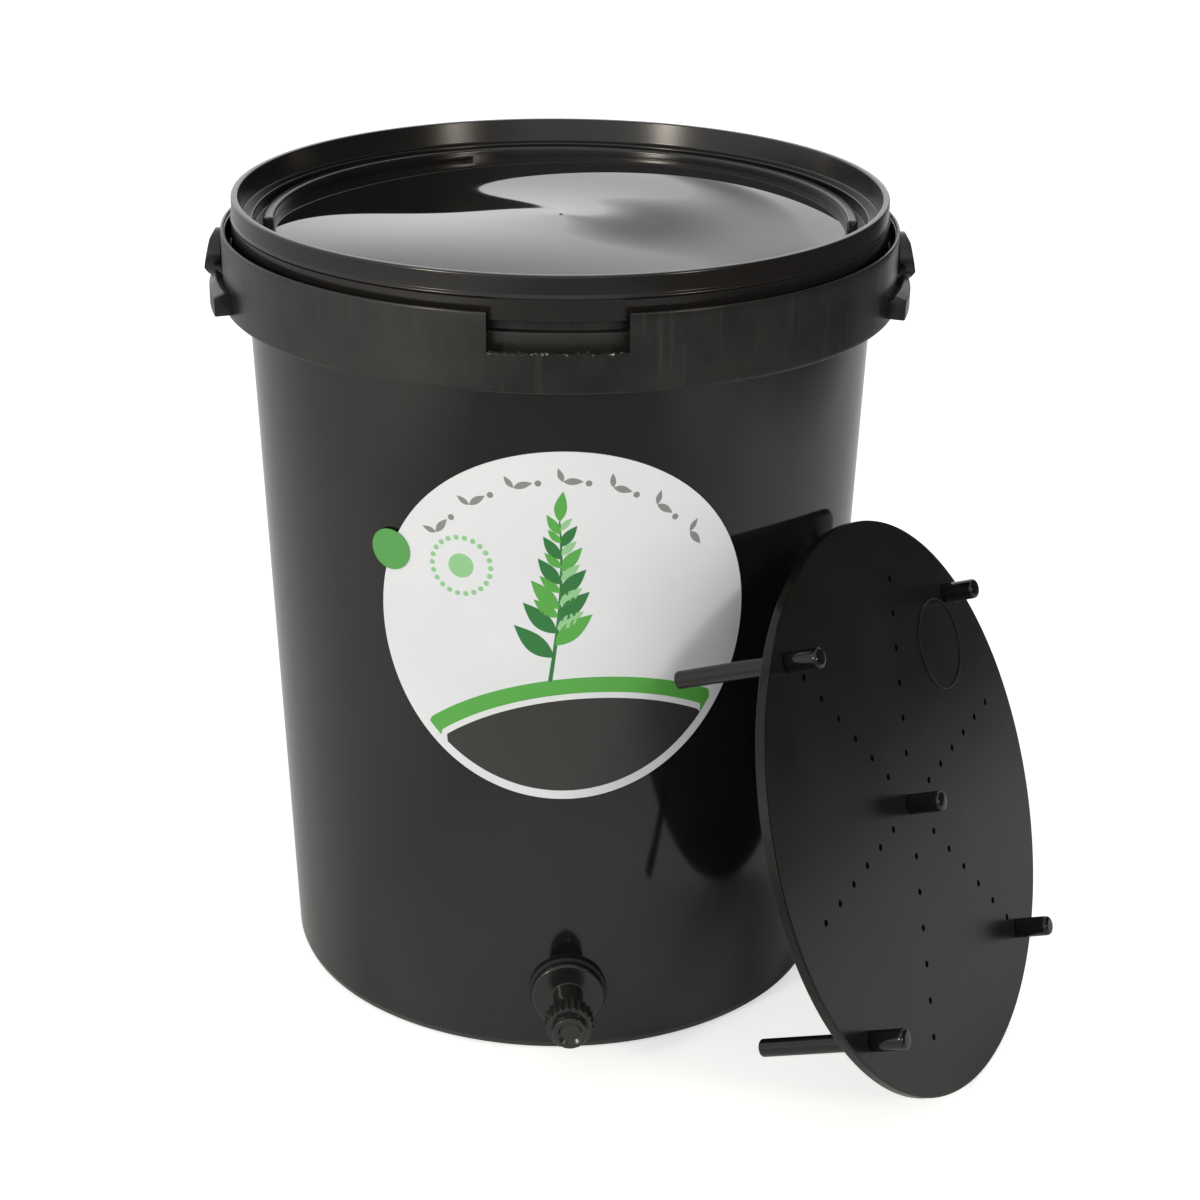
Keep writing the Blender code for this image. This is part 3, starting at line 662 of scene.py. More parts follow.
# %% Turn the pail's section
pail_section = [
    (0, base_thickness, 0),
    (inner_radius(0) - 4 * mm, base_thickness, 6 * mm),
    (inner_radius(base_thickness), base_thickness, 4 * mm),
    (inner_radius(pail_height), pail_height, 0.9 * mm),
    (bead_radius, pail_height, 1.2 * mm),
    (bead_radius, pail_height - bead_height, 0.9 * mm),
    (wall_radius(pail_height - bead_height), pail_height - bead_height - 0.6 * mm, 0.5 * mm),
    (wall_radius(band_top), band_top + 0.8 * mm, 0.4 * mm),
    (band_radius, band_top, 0.9 * mm),
    (band_radius, band_bottom, 0.8 * mm),
    (wall_radius(band_bottom), band_bottom - 0.6 * mm, 0.4 * mm),
    (wall_radius(web_top), web_top, 1.2 * mm),
    (collar_inner, web_top, 1.2 * mm),
    (collar_inner, pail_height - 1.6 * mm, 0.4 * mm),
    (collar_inner + 0.8 * mm, pail_height - 1.2 * mm, 0.3 * mm),
    (collar_inner + 0.8 * mm, pail_height, 0.3 * mm),
    (collar_radius, pail_height, 0.8 * mm),
    (collar_radius, pail_height - 4 * mm, 0),
    (collar_radius, pivot_height + 6 * mm, 0),
    (collar_radius, pivot_height - 2 * mm, 0),
    (collar_radius, collar_bottom + 2 * mm, 0),
    (collar_radius, collar_bottom, 0.8 * mm),
    (collar_inner, collar_bottom, 0.6 * mm),
    (collar_inner, web_bottom, 1.2 * mm),
    (wall_radius(web_bottom), web_bottom, 1.2 * mm),
    (wall_radius(collar_bottom - mm), collar_bottom - mm, 0),
    (wall_radius(66 * mm), 66 * mm, 0),
    (wall_radius(48 * mm), 48 * mm, 0),
    (wall_radius(24 * mm), 24 * mm, 0),
    (wall_radius(5 * mm), 5 * mm, 3 * mm),
    (wall_radius(0) - 1.2 * mm, 1.2 * mm, 2 * mm),
    (wall_radius(0) - 5 * mm, 0, 3 * mm),
    (recess_outer, 0, 0.5 * mm),
    (recess_outer - recess_depth, recess_depth, 0.5 * mm),
    (recess_inner + recess_depth, recess_depth, 0.5 * mm),
    (recess_inner, 0, 0.5 * mm),
    (0, 0, 0),
]
pail = turn("pail", pail_section, steps=256)
print("pail turned:", triangles(pail), "triangles")

# %% [markdown]
# Under the collar, two dozen gussets tie it to the wall. One is a cube with softened edges, and the
# others are copies turned round the axis. Joining them first makes the union a single step.

# %% Gussets
gusset_count = 24
gusset_turn = full_turn / gusset_count
gusset_bottom = collar_bottom + 0.4 * mm
near = wall_radius(collar_bottom) - 0.6 * mm
far = collar_inner + 0.6 * mm
gusset = block(
    "gusset",
    (far - near, 1.8 * mm, web_bottom + 0.6 * mm - gusset_bottom),
    ((far + near) / 2, 0, (web_bottom + 0.6 * mm + gusset_bottom) / 2),
)
soften(gusset, 0.3 * mm)
gussets = [gusset]
for k in range(1, gusset_count):
    gussets.append(copy_of(gusset, "gusset", Matrix.Rotation(gusset_turn * k, 4, "Z")))
gussets = join(gussets, "gussets")
gussets.data.transform(Matrix.Rotation(gusset_turn / 2, 4, "Z"))
combine(pail, gussets, "UNION")
print("pail with gussets:", triangles(pail), "triangles")

# %% [markdown]
# Beside each pivot a lug rests against the collar and carries the bail. Seen from the front it has
# a ridge on top, and it gets thicker away from the pivot. It is swept with one thickness, and then
# each ring of points on its outside is moved out a little further than the last.

# %% Lugs beside the pivots
lug_top = pivot_height - 4.8 * mm
lug_start = math.degrees(15.9 * mm / collar_radius)
lug_end = lug_start + math.degrees(42 * mm / collar_radius)
lug_steps = 12
lug_bottom = lug_top - 11.4 * mm
lug_shoulder = lug_top - 2.6 * mm
lug_inner = collar_radius - 0.6 * mm
lug_outer = collar_radius + 5.8 * mm
lug_growth = 2.5 * mm
lug_section = [
    (lug_inner, lug_bottom, 0),
    (lug_outer, lug_bottom, 0.7 * mm),
    (lug_outer, lug_shoulder, 0.9 * mm),
    (collar_radius + 3.2 * mm, lug_top, 0.9 * mm),
    (lug_inner, lug_shoulder, 0),
]


def pick_points(piece, wanted):
    """Select the points that pass a test. The piece is left in edit mode."""
    edit(piece)
    bpy.ops.mesh.select_mode(type="VERT")
    bpy.ops.mesh.select_all(action="DESELECT")
    leave_edit()
    for vert in piece.data.vertices:
        vert.select = wanted(vert.co)
    bpy.ops.object.mode_set(mode="EDIT")


lug = sweep("lug", lug_section, 90 - lug_end, 90 - lug_start, lug_steps)
for k in range(lug_steps + 1):
    turned_by = lug_end - (lug_end - lug_start) * k / lug_steps
    growth = lug_growth * (1 - k / lug_steps)
    turned = math.radians(turned_by)
    direction = Vector((math.cos(turned), -math.sin(turned), 0))

    def on_this_ring(co):
        bearing = -math.degrees(math.atan2(co.y, co.x))
        outside = math.hypot(co.x, co.y) > collar_radius + 4 * mm
        return outside and abs(bearing - turned_by) < 0.1

    pick_points(lug, on_this_ring)
    bpy.ops.transform.translate(value=direction * growth)
    leave_edit()
soften(lug, 0.5 * mm, 55)
mirror_x = Matrix.Scale(-1, 4, (1, 0, 0))
mirror_y = Matrix.Scale(-1, 4, (0, 1, 0))
lugs = [lug]
for matrix in (mirror_x, mirror_y, mirror_x @ mirror_y):
    lugs.append(copy_of(lug, "lug", matrix))
lugs = join(lugs, "lugs")
edit(lugs)
face_outwards()
combine(pail, lugs, "UNION")
print("pail with lugs:", triangles(pail), "triangles")

# %% [markdown]
# The collar has a square notch in front, where fingers get under the lid. The moulding there was
# trimmed by hand, so its lower edge is slightly ragged. The cutter's lower face is cut into a row
# of short strips, and those strips are shaken a fraction of a millimetre before the cut.

# %% Cut the notch
notch_width = 62.3 * mm
notch_middle = -1.1 * mm
notch_bottom = pail_height - 17.7 * mm
notch_height = 24 * mm
notch_strips = 30
notch_back = math.sqrt(collar_inner**2 - (notch_width / 2) ** 2) - 0.3 * mm
notch_depth = 16 * mm
notch = block(
    "notch_cutter",
    (notch_width, notch_depth, notch_height),
    (notch_middle, -notch_back - notch_depth / 2, notch_bottom + notch_height / 2),
)
edit(notch)
for k in range(1, notch_strips):
    pick_all()
    cut = notch_middle + (k / notch_strips - 0.5) * notch_width
    bpy.ops.mesh.bisect(plane_co=(cut, 0, 0), plane_no=(1, 0, 0))
leave_edit()
trimmed = 0.49 * notch_width
pick_points(notch, lambda co: co.z < notch_bottom + mm and abs(co.x - notch_middle) < trimmed)
bpy.ops.transform.vertex_random(offset=0.8 * mm, uniform=0.1, normal=0, seed=7)
leave_edit()
combine(pail, notch, "DIFFERENCE")
print("pail with its notch:", triangles(pail), "triangles")

# %% [markdown]
# The bail turns in two holes through the collar, and the tap's spigot passes through the wall.

# %% Drill the pivot holes and the tap's hole
tap_height = 36 * mm
tap_bearing = math.radians(1.9)
tap_out = Vector((math.sin(tap_bearing), -math.cos(tap_bearing), 0))
pivot_hole_radius = 5.4 * mm
tap_hole_radius = 9.8 * mm
for side in (-1, 1):
    place = (side * collar_radius, 0, pivot_height)
    combine(pail, peg("pivot_hole", pivot_hole_radius, 8 * mm, place, (1, 0, 0)), "DIFFERENCE")
tap_hole_place = tap_out * wall_radius(tap_height) + Vector((0, 0, tap_height))
combine(pail, peg("tap_hole", tap_hole_radius, 20 * mm, tap_hole_place, tap_out), "DIFFERENCE")
print("pail drilled:", triangles(pail), "triangles")

# %% [markdown]
# Where the notch was trimmed, the plastic turned white in small torn bits. They are painted along
# the cut's lower edge, in a band that a fine noise breaks up. The band of wall behind the notch is
# painted a greyer black: painted light, for the light that this band catches.

# %% White torn bits along the notch, and painted light on the band behind it
torn_white = (0.55, 0.55, 0.53)
# The lighter black below is painted light on the band of wall behind the notch.
painted_light_grey = (0.02, 0.02, 0.018)
torn_bottom = notch_bottom - 1.1 * mm
torn_top = notch_bottom + 0.9 * mm
torn_back = -collar_radius + 7 * mm
painted_band_inner = 155.6 * mm
painted_band_outer = 158.8 * mm
fade = 0.6 * mm
tree = pail_plastic.node_tree
shader = tree.nodes["Principled BSDF"]
place = tree.nodes.new("ShaderNodeTexCoord").outputs["Object"]
axes = axes_of(tree, place)
from_middle = math_node(tree, "SUBTRACT", axes["X"], notch_middle)
from_middle = math_node(tree, "ABSOLUTE", from_middle)
bits = product(
    tree,
    ramp(tree, noise(tree, place, 330.0, 3.0, 0.7), 0.58, 0.72),
    ramp(tree, axes["Z"], torn_bottom, torn_bottom + 0.6 * mm),
    ramp(tree, axes["Z"], torn_top - 0.3 * mm, torn_top, 1.0, 0.0),
    ramp(tree, from_middle, notch_width / 2 - mm, notch_width / 2 + mm, 1.0, 0.0),
    ramp(tree, axes["Y"], torn_back - mm, torn_back, 1.0, 0.0),
)
reach = squared_reach(tree, axes)
# Painted light: a lighter black between these radii and below the band's top.
painted_light_band = product(
    tree,
    ramp(tree, reach, painted_band_inner**2, (painted_band_inner + fade) ** 2),
    ramp(tree, reach, (painted_band_outer - fade) ** 2, painted_band_outer**2, 1.0, 0.0),
    ramp(tree, axes["Z"], band_top, band_top + mm, 1.0, 0.0),
)
plain_shade = shader.inputs["Base Color"].links[0].from_socket
shade = mix_colour(tree, painted_light_band, plain_shade, painted_light_grey)
shade = mix_colour(tree, bits, shade, torn_white)
tree.links.new(shade, shader.inputs["Base Color"])
finish_piece(pail, pail_plastic, "pail", "pail_black", "bucket_shell")

# %% [markdown]
# ## The lid
# The lid is one turned section as well: a crowned panel, a plug that fits in the mouth, a ledge, an
# upstanding rim and a skirt that snaps over the bead. An arc on top keeps a second bin from sliding
# when bins are stacked. The panel's crown is drawn with many short steps, because it is glossy and
# any facet would show.

# %% Sizes of the lid
lid_radius = bead_radius + 2.8 * mm
skirt_wall = 2.2 * mm
ledge_bottom = pail_height + 2.2 * mm
ledge_top = ledge_bottom + 1.9 * mm
rim_top = ledge_top + 11.5 * mm
rim_inner = lid_radius - 3.2 * mm
panel_edge = ledge_top - 5.7 * mm
panel_bottom = panel_edge - 2 * mm
plug_radius = inner_radius(panel_bottom) - 0.6 * mm
plug_inner = plug_radius - 2 * mm
panel_crown = 4.5 * mm
skirt_bottom = ledge_bottom - 7.2 * mm
ridge_middle = rim_top - 9.8 * mm
panel_rings = 48
under_rings = 13


def panel_height(radius):
    return panel_crown * (1 - (radius / plug_inner) ** 2)


print("lid in mm:", round(2 * lid_radius / mm, 1), "across")

# %% Turn the lid
lid_section = []
for k in range(panel_rings):
    radius = plug_inner * k / panel_rings
    lid_section.append((radius, panel_edge + panel_height(radius), 0))
lid_section += [
    (plug_inner, panel_edge, 0.8 * mm),
    (plug_inner, ledge_top, 0.7 * mm),
    (rim_inner - 1.2 * mm, ledge_top, 0.9 * mm),
    (rim_inner, rim_top, 0.8 * mm),
    (lid_radius, rim_top, 1 * mm),
    (lid_radius, ridge_middle + 1.2 * mm, 0.5 * mm),
    (lid_radius + 0.9 * mm, ridge_middle, 0.8 * mm),
    (lid_radius, ridge_middle - 1.2 * mm, 0.5 * mm),
    (lid_radius + 0.5 * mm, skirt_bottom, 0.7 * mm),
    (lid_radius - skirt_wall, skirt_bottom, 0.7 * mm),
    (lid_radius - skirt_wall, ledge_bottom, 0.5 * mm),
    (plug_radius, ledge_bottom, 0.5 * mm),
    (plug_radius, panel_bottom, 0.8 * mm),
]
for k in range(under_rings - 1, 0, -1):
    radius = plug_radius * k / under_rings
    lid_section.append((radius, panel_bottom + panel_height(radius), 0))
lid_section.append((0, panel_bottom + panel_crown, 0))
lid = turn("dressed_lid", lid_section, steps=256, parts=4)
print("lid turned:", triangles(lid), "triangles")

# %% [markdown]
# A thin panel as wide as this never cools quite flat. On the real lid the dark mirror image of the
# rim runs over the panel in the shape of an S, and that curve shows how the panel is warped. It is
# twisted, its middle stands up round the gate, and it falls towards the back. A warp has no edge
# to pull on, so it is written as a formula, and every point of the two skins is moved by it.

# %% Warp the panel
warp_twist = 17.7 * mm
warp_fall_right = 1.3 * mm
warp_fall_back = 7.1 * mm
warp_ease = 1.2
warp_middle = 1.1 * mm
warp_swell = 4.8 * mm
gate_rise = 2.9 * mm
gate_spread = 0.59


def panel_warp(x, y):
    """The warped panel's height over its edge, at a place in shares of the panel's radius."""
    square = x * x + y * y
    fall = warp_fall_right * x + warp_fall_back * y * (1 - warp_ease * square)
    swell = warp_middle + warp_swell * square
    gate = gate_rise * math.exp(-math.sqrt(square + 0.0004) / gate_spread)
    return (1 - square) * (warp_twist * x * y - fall + swell + gate)


def warp_points(piece, flat_height):
    """Move the points inside the panel's edge from their crowned height to the warp."""
    for vert in piece.data.vertices:
        reach = math.hypot(vert.co.x, vert.co.y)
        if reach < plug_inner:
            shift = panel_warp(vert.co.x / plug_inner, vert.co.y / plug_inner)
            vert.co.z += shift - flat_height(reach)


warp_points(lid, panel_height)
warped = [panel_warp(k / 20, m / 20) for k in range(-14, 15) for m in range(-14, 15)]
print("panel heights over its edge in mm:", round(min(warped) / mm, 1), round(max(warped) / mm, 1))

# %% [markdown]
# The stacking arc has a rounded top and stops short of the front, so that water can run off. Its
# foot reaches a little into the panel, and the union takes away what is inside.

# %% The stacking arc and the gate mark
arc_outer = plug_inner - 4.8 * mm
arc_inner = arc_outer - 5.2 * mm
arc_foot = panel_edge - 0.6 * mm
arc_top = ledge_top - 0.3 * mm
arc_start = 83.4
arc_section = [
    (arc_inner, arc_foot, 0),
    (arc_outer, arc_foot, 0),
    (arc_outer, arc_top, 1.4 * mm),
    (arc_inner, arc_top, 1.4 * mm),
]
arc = sweep("stacking_arc", arc_section, arc_start, 360 - arc_start, 160, parts=4)
soften(arc, 0.8 * mm, 60, 3)
for vert in arc.data.vertices:
    if vert.co.z < panel_edge:
        vert.co.z += panel_warp(vert.co.x / plug_inner, vert.co.y / plug_inner)
combine(lid, arc, "UNION")
gate_height = panel_edge + panel_warp(0, 0)
gate_foot = gate_height - 0.4 * mm
gate_section = [
    (0, gate_height + 0.35 * mm, 0),
    (0.8 * mm, gate_height + 0.3 * mm, 0.2 * mm),
    (1.1 * mm, gate_foot, 0),
    (0, gate_foot, 0),
]
combine(lid, turn("gate_mark", gate_section, steps=24), "UNION")
finish_piece(lid, lid_plastic, "lid_body", "lid_black", "lid", angle=30)

# %% [markdown]
# ## The bail
# The bail is a flat strap bent half round the collar, with a thicker grip in the middle and a hub
# at each end. The strap has a shallow channel along its outside, as moulded straps do to keep an
# even wall. A hub is a short cylinder whose outer face was shaped by a prism with a bent front.

# %% The strap and the grip
hub_inner = collar_radius + 0.5 * mm
strap_inner = collar_radius + 2.3 * mm
strap_outer = strap_inner + 4 * mm
channel_floor = strap_inner + 2.8 * mm
strap_half = [
    (channel_floor, 2.3 * mm, 0.4 * mm),
    (strap_outer, 2.9 * mm, 0.3 * mm),
    (strap_outer, 4.5 * mm, 0.7 * mm),
    (strap_inner, 4.5 * mm, 0.7 * mm),
]
strap_section = [(x, pivot_height - z, radius) for x, z, radius in reversed(strap_half)]
strap_section += [(x, pivot_height + z, radius) for x, z, radius in strap_half]
bail = sweep("bail", strap_section, 90, 270, 128)
grip_reach = math.degrees(50 * mm / strap_inner)
grip_inner = strap_inner - 0.3 * mm
grip_outer = strap_inner + 6.7 * mm
grip_bottom = pivot_height - 6.5 * mm
grip_top = pivot_height + 6.5 * mm
grip_section = [
    (grip_inner, grip_bottom, 2 * mm),
    (grip_outer, grip_bottom, 2.4 * mm),
    (grip_outer, grip_top, 2.4 * mm),
    (grip_inner, grip_top, 2 * mm),
]
grip = sweep("grip", grip_section, 180 - grip_reach, 180 + grip_reach, 36, parts=5)
soften(grip, 1.2 * mm, 60, 3)
combine(bail, grip, "UNION")
print("strap and grip:", triangles(bail), "triangles")

# %% A hub with its pin
hub_radius = 11.7 * mm
hub_profile = [
    (hub_inner, 12.5, 0),
    (collar_radius + 3.8 * mm, 12.5, 0),
    (collar_radius + 3.8 * mm, 11.7, 0.5),
    (collar_radius + 5.9 * mm, 8.4, 1.5),
    (collar_radius + 8.9 * mm, -5.8, 1.5),
    (collar_radius + 6 * mm, -11.7, 0.5),
    (collar_radius + 6 * mm, -12.5, 0),
    (hub_inner, -12.5, 0),
]
hub_profile = [(x, pivot_height + z * mm, r * mm) for x, z, r in hub_profile]
hub_half_width = 13 * mm
hub = draw_section("hub", hub_profile, parts=4, closed=True)
weld()
bpy.ops.mesh.edge_face_add()
bpy.ops.mesh.extrude_region_move(TRANSFORM_OT_translate={"value": (0, 2 * hub_half_width, 0)})
pick_all()
bpy.ops.transform.translate(value=(0, -hub_half_width, 0))
face_outwards()
round_place = (collar_radius + 5 * mm, 0, pivot_height)
combine(hub, peg("hub_round", hub_radius, 20 * mm, round_place, (1, 0, 0), 96), "INTERSECT")
soften(hub, 0.6 * mm, 50, 3)
pin_end = collar_inner - 2.4 * mm
pin_start = hub_inner + 0.6 * mm
pin_place = ((pin_end + pin_start) / 2, 0, pivot_height)
combine(hub, peg("pin", 5 * mm, pin_start - pin_end, pin_place, (1, 0, 0)), "UNION")
head_place = (pin_end + 0.9 * mm, 0, pivot_height)
head = peg("pin_head", 6.5 * mm, 1.8 * mm, head_place, (1, 0, 0))
soften(head, 0.4 * mm, 50)
combine(hub, head, "UNION")
left_hub = copy_of(hub, "hub", mirror_x)
edit(left_hub)
face_outwards()
combine(bail, hub, "UNION")
combine(bail, left_hub, "UNION")
finish_piece(bail, bail_plastic, "bail", "bail_black", "bail_handle")

# %% [markdown]
# ## The drain tap
# The tap's parts share one axis, so each is made upright round Z and tipped forwards at the end.
# The body is a turned section: a threaded spigot, a flange and a barrel round one bore. Its short
# spout is joined on from below, and then the rotor's room and the spout are bored out.

# %% Tap stations and the matrix that tips a part into place
washer_radius = 19.3 * mm
washer_front = wall_radius(tap_height + washer_radius) + 2.1 * mm
flange_back = washer_front + 0.3 * mm
flange_front = flange_back + 3.2 * mm
barrel_end = flange_front + 18.2 * mm
knob_back = barrel_end + 0.3 * mm
knob_front = knob_back + 10 * mm
nose_front = knob_front + 5 * mm
spigot_end = flange_back - 19.5 * mm
spigot_radius = 9.3 * mm
thread_root = 8.5 * mm
thread_count = 6
barrel_radius = 7.4 * mm
rotor_room = 5.2 * mm
rotor_room_back = barrel_end - 16 * mm
inlet_radius = 3.6 * mm
flange_radius = 17.8 * mm
washer_hole = 9.6 * mm
washer_back = wall_radius(tap_height) - 12 * mm
thread_start = inner_radius(tap_height - washer_radius) - 1.7 * mm
tip = Matrix.Translation((0, 0, tap_height)) @ Matrix.Rotation(tap_bearing, 4, "Z")
tip = tip @ Matrix.Rotation(math.radians(90), 4, "X")
print("the tap's nose from the pail's axis in mm:", round(nose_front / mm, 1))

# %% The tap's body
tap_section = [
    (inlet_radius, spigot_end, 0),
    (inlet_radius, rotor_room_back, 0),
    (rotor_room, rotor_room_back, 0),
    (rotor_room, barrel_end, 0.3 * mm),
    (barrel_radius, barrel_end, 0.6 * mm),
    (barrel_radius, flange_front, 0.8 * mm),
    (flange_radius, flange_front, 1.5 * mm),
    (flange_radius, flange_back, 0.5 * mm),
    (spigot_radius, flange_back, 0),
]
for k in range(thread_count):
    top = thread_start - 2.4 * mm * k
    tap_section += [
        (spigot_radius, top - 0.5 * mm, 0.15 * mm),
        (thread_root, top - 1.2 * mm, 0.15 * mm),
        (spigot_radius, top - 1.9 * mm, 0.15 * mm),
    ]
tap_section.append((spigot_radius, spigot_end, 0.4 * mm))
tap = turn("tap", tap_section, steps=96, closed=True)
spout_place = flange_front + 9.4 * mm
spout = peg("spout", 5.4 * mm, 16.8 * mm, (0, -8.4 * mm, spout_place), (0, 1, 0))
soften(spout, 0.6 * mm, 50)
combine(tap, spout, "UNION")
room = peg("rotor_room", rotor_room, 15.5 * mm, (0, 0, barrel_end - 8 * mm), sides=96)
combine(tap, room, "DIFFERENCE")
bore_place = (0, -12.5 * mm, spout_place)
combine(tap, peg("spout_bore", 3.4 * mm, 17 * mm, bore_place, (0, 1, 0)), "DIFFERENCE")
move_to(tap, tip)
finish_piece(tap, tap_plastic, "pail", "tap_black", "tap_body")

# %% [markdown]
# The rubber washer under the flange is flat in front and follows the round wall behind. A ring is
# made too long, and a form that is a touch larger than the pail takes away its back.

# %% The outer washer
washer_section = [
    (washer_hole, washer_front, 0),
    (washer_radius, washer_front, 0.5 * mm),
    (washer_radius, washer_back, 0),
    (washer_hole, washer_back, 0),
]
washer = turn("washer", washer_section, steps=96, closed=True)
move_to(washer, tip)
gap = 0.3 * mm
low, high = 5 * mm, 70 * mm
wall_outline = [
    (0, low, 0),
    (wall_radius(low) + gap, low, 0),
    (wall_radius(high) + gap, high, 0),
    (0, high, 0),
]
combine(washer, turn("wall_form", wall_outline, steps=256), "DIFFERENCE")
finish_piece(washer, tap_rubber, "pail", "rubber_black", "tap_outer_washer")

# %% [markdown]
# The knob has coarse teeth that fingers can grip, and a smooth dished nose in front. It starts as a
# cylinder with four sides to a tooth. The valleys between the teeth are picked by their bearing and
# drawn inwards, and then all sharp edges are softened.

# %% The knob
knob_radius = 11.6 * mm
teeth = 22
valley_share = 0.918
knob_middle = (0, 0, knob_back + 5 * mm)
knob = peg("knob", knob_radius, 10 * mm, knob_middle, sides=teeth * 4)


def in_valley(co):
    share = math.atan2(co.x, co.y) / full_turn * teeth * 4
    return round(share) % 4 in (0, 1)


pick_points(knob, in_valley)
bpy.ops.transform.resize(value=(valley_share, valley_share, 1), center_override=(0, 0, 0))
leave_edit()
soften(knob, 0.35 * mm, 25, 2)
nose_radius = 8.5 * mm
dish_floor = nose_front - 1.6 * mm
nose_section = [
    (0, knob_front - mm, 0),
    (nose_radius, knob_front - mm, 0),
    (nose_radius, nose_front, 0.9 * mm),
    (6.3 * mm, nose_front, 0.5 * mm),
    (4.7 * mm, dish_floor, 0.6 * mm),
    (0, dish_floor, 0),
]
combine(knob, turn("nose", nose_section, steps=96), "UNION")
drive_place = (0, 0, knob_back + 0.3 * mm)
drive_hole = peg("drive_hole", 3.36 * mm, 14 * mm, drive_place, sides=6)
combine(knob, drive_hole, "DIFFERENCE")
move_to(knob, tip)
finish_piece(knob, tap_plastic, "tap_valve", "tap_black", "tap_knob")

# %% [markdown]
# ## The drain plate and its legs
# The plate is a sheet cut to a circle and drilled in six rows. It is made flat at the origin, with
# its face up, then leaned on the pail by one matrix. The legs use the same matrix.

# %% Where the plate stands
plate_thickness = 5 * mm
plate_lean = math.radians(21.1)
plate_facing = math.radians(61.2)
plate_radius = inner_radius(59 * mm) - 0.85 * mm
facing = Vector((math.sin(plate_facing), -math.cos(plate_facing), 0))
plate_out = facing * math.cos(plate_lean) + Vector((0, 0, math.sin(plate_lean)))
plate_across = Vector((-facing.y, facing.x, 0))
plate_up = plate_out.cross(plate_across)
low, high = (Vector(corner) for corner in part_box("drain_plate"))
plate_centre = (low + high) / 2 + plate_out * plate_thickness / 2
plate_turn = Matrix((plate_across, plate_up, plate_out)).transposed().to_4x4()
lean = Matrix.Translation(plate_centre) @ plate_turn
print("plate centre in mm:", [round(c / mm, 1) for c in plate_centre])

# %% Cut and drill the plate
plate_section = [
    (0, -plate_thickness, 0),
    (plate_radius, -plate_thickness, 0.5 * mm),
    (plate_radius, 0, 0.9 * mm),
    (0, 0, 0),
]
plate = turn("plate", plate_section, steps=256, parts=2)
leg_circle = plate_radius - 13.8 * mm
first_leg = 35.2
leg_places = [(0, 0)]
for k in range(4):
    angle = math.radians(first_leg + 90 * k)
    leg_places.append((leg_circle * math.cos(angle), leg_circle * math.sin(angle)))
hole_radius = 1.7 * mm
leg_hole_radius = 4.6 * mm
drill = peg("drill", hole_radius, 12 * mm, (0, 0, 0), sides=24)
drills = []
rows = 6
holes = 6
first_row = 4.5
first_hole = 25.1 * mm
last_hole = plate_radius - 28.4 * mm
spacing = (last_hole - first_hole) / (holes - 1)
for row in range(rows):
    angle = math.radians(first_row + 360 / rows * row)
    for k in range(holes):
        reach = first_hole + k * spacing
        place = Matrix.Translation((reach * math.cos(angle), reach * math.sin(angle), 0))
        drills.append(copy_of(drill, "drill", place))
discard(drill)
for x, y in leg_places:
    drills.append(peg("drill", leg_hole_radius, 12 * mm, (x, y, 0)))
combine(plate, join(drills, "drills"), "DIFFERENCE")
print("plate drilled:", triangles(plate), "triangles")

# %% [markdown]
# A plain raised ring marks the plate's upper part. Each leg is a long peg with a thicker, rounded
# head. It is pushed through the plate until the head meets the face.

# %% The raised ring and the legs
head_radius = 5 * mm
ring_radius = 23.6 * mm
emblem_circle = leg_circle - head_radius - 0.8 * mm - ring_radius
emblem_angle = math.radians(33.9)
ring_inner = ring_radius - 1.2 * mm
ring_foot = -0.6 * mm
ring_top = 0.5 * mm
ring_section = [
    (ring_inner, ring_foot, 0),
    (ring_radius, ring_foot, 0),
    (ring_radius, ring_top, 0.3 * mm),
    (ring_inner, ring_top, 0.3 * mm),
]
ring = turn("ring", ring_section, steps=96, parts=2, closed=True)
ring.location = (
    emblem_circle * math.cos(emblem_angle), emblem_circle * math.sin(emblem_angle), 0
)
settle(ring)
combine(plate, ring, "UNION")
edit(plate)
weld(0.02 * mm)
leave_edit()
move_to(plate, lean)
finish_piece(plate, plate_sheet, "plate_body", "plate_dark", "drain_plate", angle=16)
leg_radius = 4.3 * mm
leg_end = -59 * mm
head_back = 0.3 * mm
head_length = 17.4 * mm
leg_section = [
    (0, leg_end, 0),
    (leg_radius, leg_end, 1.2 * mm),
    (leg_radius, head_back, 0),
    (head_radius, head_back, 0.45 * mm),
    (head_radius, head_length, 3 * mm),
    (0, head_length + 0.2 * mm, 0),
]
leg = turn("leg", leg_section, steps=48, parts=8)
leg_names = ["middle", "upper_right", "upper_left", "lower_left", "lower_right"]
for leg_name, (x, y) in zip(leg_names, leg_places):
    piece = copy_of(leg, f"leg_{leg_name}", lean @ Matrix.Translation((x, y, 0)))
    finish_piece(piece, peg_plastic, "plate_body", "leg_black", f"drain_leg_{leg_name}")
discard(leg)

# %% [markdown]
# ## The label
# The label is a printed film on the pail's front. It is drawn flat, in the XZ plane, with its
# middle at the origin. Then it is cut into upright strips, so that it can bend, wrapped round a
# cylinder, tapered to the wall's slope and moved up. The print goes through the same steps, so it
# always lies on the film. The picture is a plain garden one: soil, grass, a sprig and a few seeds.

# %% Draw and wrap a flat piece
label_radius = 0.228 * pail_height
label_height = 0.6005 * pail_height
label_bearing = math.radians(0.7)
wrap_radius = wall_radius(label_height)
print("label in mm:", round(2 * label_radius / mm, 1), "across")


def flat_outline(name, points, y=0.0):
    """Draw a closed outline in the XZ plane and fill it. The points are in millimetres."""
    piece = trace(name, [*points, points[0]], mm, y)
    weld()
    bpy.ops.mesh.edge_face_add()
    leave_edit()
    return piece


def span(piece, axis):
    values = [vert.co[axis] for vert in piece.data.vertices]
    return min(values), max(values)


def deform(piece, method, amount, value):
    step = piece.modifiers.new(method.lower(), "SIMPLE_DEFORM")
    step.deform_method = method
    step.deform_axis = "Z"
    setattr(step, amount, value)
    apply_all(piece)


